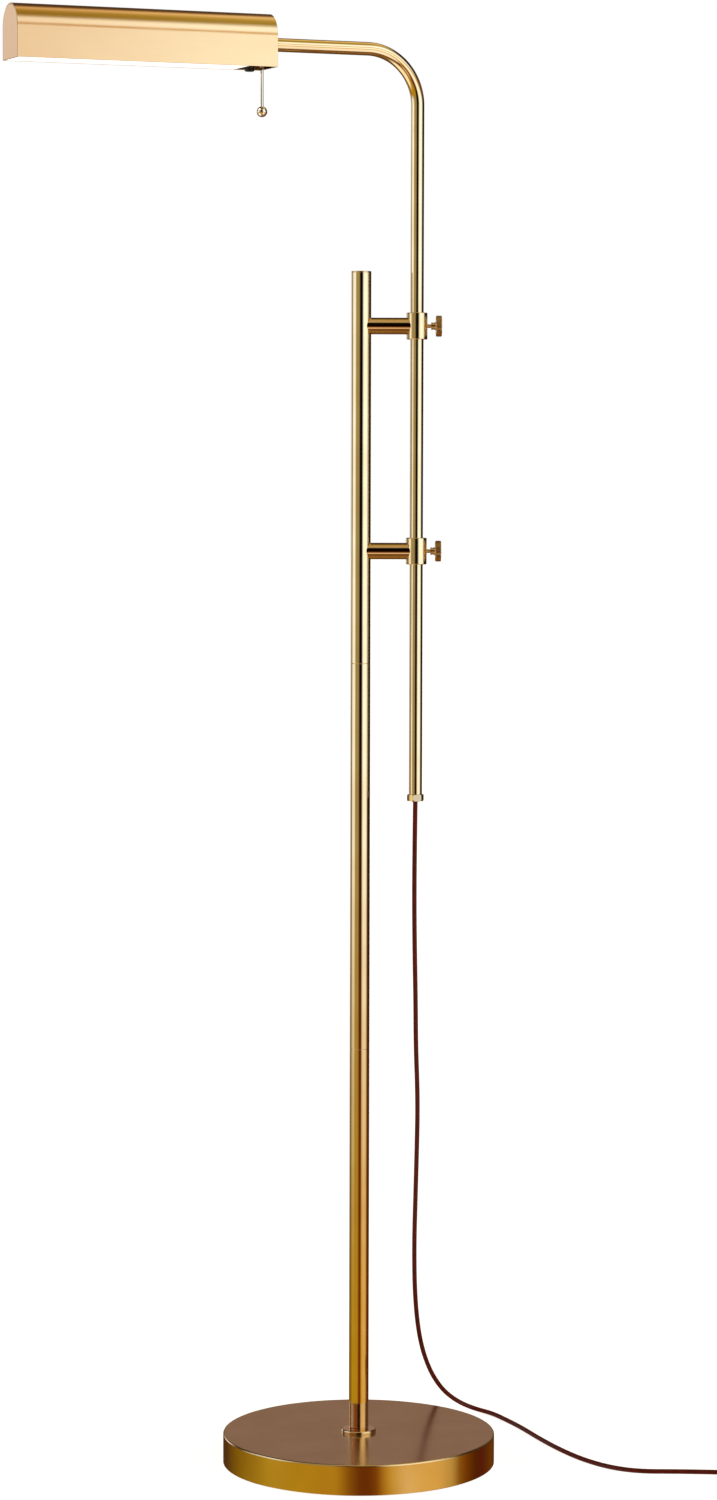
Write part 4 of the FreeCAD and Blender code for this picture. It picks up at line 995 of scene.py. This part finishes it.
finish_cad_nodes()
make_foot()
make_post()
RIDGES = ridge_tree()
THREAD = thread_tree()
for bracket_side in ("upper", "lower"):
    make_bracket_arm(bracket_side)
    make_collar(bracket_side)
    make_knob(bracket_side, RIDGES, THREAD)
make_stem()
make_end_nut()
make_shade()
make_switch()
PLUG_PIECES = make_plug(rib_tree())
make_cord()


# ---------------------------------------------------------------- studio

# What the brass reflects at the lamp's own level, by direction round the lamp: degrees from the camera,
# positive to the right, and the colour there. Tall softboxes stand at both sides, with dark gaps between.
LEVEL = ((-180, "#483B2A"), (-136, "#3A3526"), (-117, "#3A3526"), (-107, "#D8DDE8"), (-74, "#EDF3FA"),
         (-60, "#AA9B79"), (-50, "#8A7C58"), (-30, "#928563"), (-19, "#796D53"), (-11, "#080402"),
         (7, "#050301"), (15, "#1E1C1E"), (26, "#CCD6E8"), (36, "#F4FAFF"), (65, "#F4FAFF"),
         (79, "#D8E2F2"), (91, "#4C493F"), (105, "#0B0804"), (136, "#231C12"), (180, "#483B2A"))
# Just above the horizon, where the foot's top looks.
RISING = ((-180, "#826A62"), (-150, "#6A5444"), (-110, "#541C08"), (-60, "#6A2008"), (-20, "#581404"),
          (0, "#0C0402"), (12, "#100804"), (24, "#C0A070"), (70, "#C0A070"), (90, "#503020"),
          (150, "#6A5444"), (180, "#826A62"))
# Below the horizon, and high up.
LOW = ((-180, "#3A2611"), (-150, "#4A2E10"), (-122, "#785C10"), (-100, "#8A6E10"), (-82, "#9E8214"),
       (-20, "#A07A1C"), (-9, "#794D0D"), (0, "#5C2A04"), (8, "#5C2A04"), (15, "#703C04"),
       (21, "#9A6E10"), (27, "#B08A2C"), (36, "#BA944A"), (50, "#C29C54"), (72, "#C09A54"),
       (85, "#A88A48"), (94, "#7A5010"), (103, "#643604"), (116, "#4A2004"), (127, "#4A180C"),
       (151, "#5A3006"), (180, "#3A2611"))
HIGH = ((-180, "#1A120A"), (-120, "#242018"), (-95, "#5E5A50"), (-60, "#8A8068"), (-25, "#988A6A"),
        (0, "#A48C6A"), (25, "#A08C5C"), (45, "#947C2C"), (64, "#8E7828"), (85, "#988438"),
        (100, "#A8904A"), (125, "#C0A468"), (146, "#D8C092"), (156, "#C8A87C"), (168, "#5A3C24"),
        (180, "#1A120A"))
OVERHEAD = "#A5893D"
UNDERFOOT = "#6A4824"
SOFTBOX_GAIN = 1.45
# Single lights: degrees round and up, half width, soft edge, colour.
PANELS = ((41, -38, 20, 4, "#E8E0DC"), (-75, -52, 26, 10, "#F0E8D8"), (0, -31, 7, 5, "#D0B090"),
          (-144, 4, 9, 9, "#DED8D8"))


def ramp_round(tree, azimuth, stops):
    """Colour by direction round the lamp."""
    ramp = add(tree, "ShaderNodeValToRGB", {"Fac": azimuth})
    elements = ramp.color_ramp.elements
    for index, (degrees, colour) in enumerate(stops):
        position = degrees / 360 + 0.5
        element = elements[index] if index < 2 else elements.new(position)
        element.position = position
        element.color = linear(colour)
    return ramp.outputs["Color"]


def mixed(tree, height, low_degrees, high_degrees, lower, upper):
    """Change smoothly from one colour to another between two elevations."""
    part = add(tree, "ShaderNodeMapRange", {
        "Value": height, "From Min": sin(radians(low_degrees)),
        "From Max": sin(radians(high_degrees))},
        interpolation_type="SMOOTHSTEP").outputs["Result"]
    return add(tree, "ShaderNodeMix", {0: part, 6: lower, 7: upper}, data_type="RGBA").outputs[2]


def make_surroundings():
    """White behind the lamp, and softboxes, dark gaps and a warm floor for the brass to reflect."""
    world = bpy.data.worlds.new("studio")
    world.use_nodes = True
    tree = world.node_tree
    tree.nodes.clear()
    direction = add(tree, "ShaderNodeTexCoord").outputs["Generated"]
    parts = add(tree, "ShaderNodeSeparateXYZ", {"Vector": direction})
    towards = add(tree, "ShaderNodeMath", {0: parts.outputs["Y"], 1: -1.0}, operation="MULTIPLY")
    turn = add(tree, "ShaderNodeMath", {0: parts.outputs["X"], 1: towards.outputs["Value"]},
               operation="ARCTAN2")
    azimuth = add(tree, "ShaderNodeMath", {0: turn.outputs["Value"], 1: 1 / tau, 2: 0.5},
                  operation="MULTIPLY_ADD").outputs["Value"]
    height = parts.outputs["Z"]
    colour = mixed(tree, height, -13, -3, ramp_round(tree, azimuth, LOW), ramp_round(tree, azimuth, LEVEL))
    for from_degrees, to_degrees, stops in ((7, 12, RISING), (17, 23, LEVEL), (38, 56, HIGH)):
        colour = mixed(tree, height, from_degrees, to_degrees, colour, ramp_round(tree, azimuth, stops))
    colour = mixed(tree, height, 74, 88, colour, linear(OVERHEAD))
    colour = mixed(tree, height, -60, -38, linear(UNDERFOOT), colour)
    for turned_to, lifted, width, edge, glow in PANELS:
        flat = cos(radians(lifted))
        aim = (flat * sin(radians(turned_to)), -flat * cos(radians(turned_to)),
               sin(radians(lifted)))
        near = add(tree, "ShaderNodeVectorMath", {0: direction, 1: aim},
                   operation="DOT_PRODUCT").outputs["Value"]
        part = add(tree, "ShaderNodeMapRange", {
            "Value": near, "From Min": cos(radians(width + edge)),
            "From Max": cos(radians(width - edge))},
            interpolation_type="SMOOTHSTEP").outputs["Result"]
        colour = add(tree, "ShaderNodeMix", {0: part, 6: colour, 7: linear(glow)},
                     data_type="RGBA").outputs[2]
    studio = add(tree, "ShaderNodeBackground", {"Color": colour, "Strength": SOFTBOX_GAIN})
    paper = add(tree, "ShaderNodeBackground", {"Color": linear("#FFFFFF"), "Strength": 1.0})
    seen = add(tree, "ShaderNodeLightPath").outputs["Is Camera Ray"]
    both = add(tree, "ShaderNodeMixShader",
               {0: seen, 1: studio.outputs["Background"], 2: paper.outputs["Background"]})
    add(tree, "ShaderNodeOutputWorld", {"Surface": both.outputs["Shader"]})
    SCENE.world = world


def make_floor():
    """Plain white floor, lit from below like a light table, so that shadows on it are faint."""
    mesh = bmesh.new()
    corners = [mesh.verts.new((x, y, 0)) for x, y in ((-30, -30), (30, -30), (30, 30), (-30, 30))]
    mesh.faces.new(corners)
    floor = new_piece("floor", mesh)
    finish, tree, shader, place = new_finish("white_light_table", Roughness=0.9, Emission_Strength=0.86,
                                             Emission_Color=linear("#FFFFFF"))
    clouds = add(tree, "ShaderNodeTexNoise", {"Vector": place, "Scale": 1 / (900 * MM), "Detail": 3.0})
    patterned(tree, shader, clouds, tones=("#D8D8D6", "#DEDEDC"))
    floor.data.materials.append(finish)
    floor.visible_glossy = False
    floor.visible_diffuse = False


make_surroundings()
make_floor()
SCENE.view_settings.view_transform = "Standard"
SCENE.view_settings.look = "None"
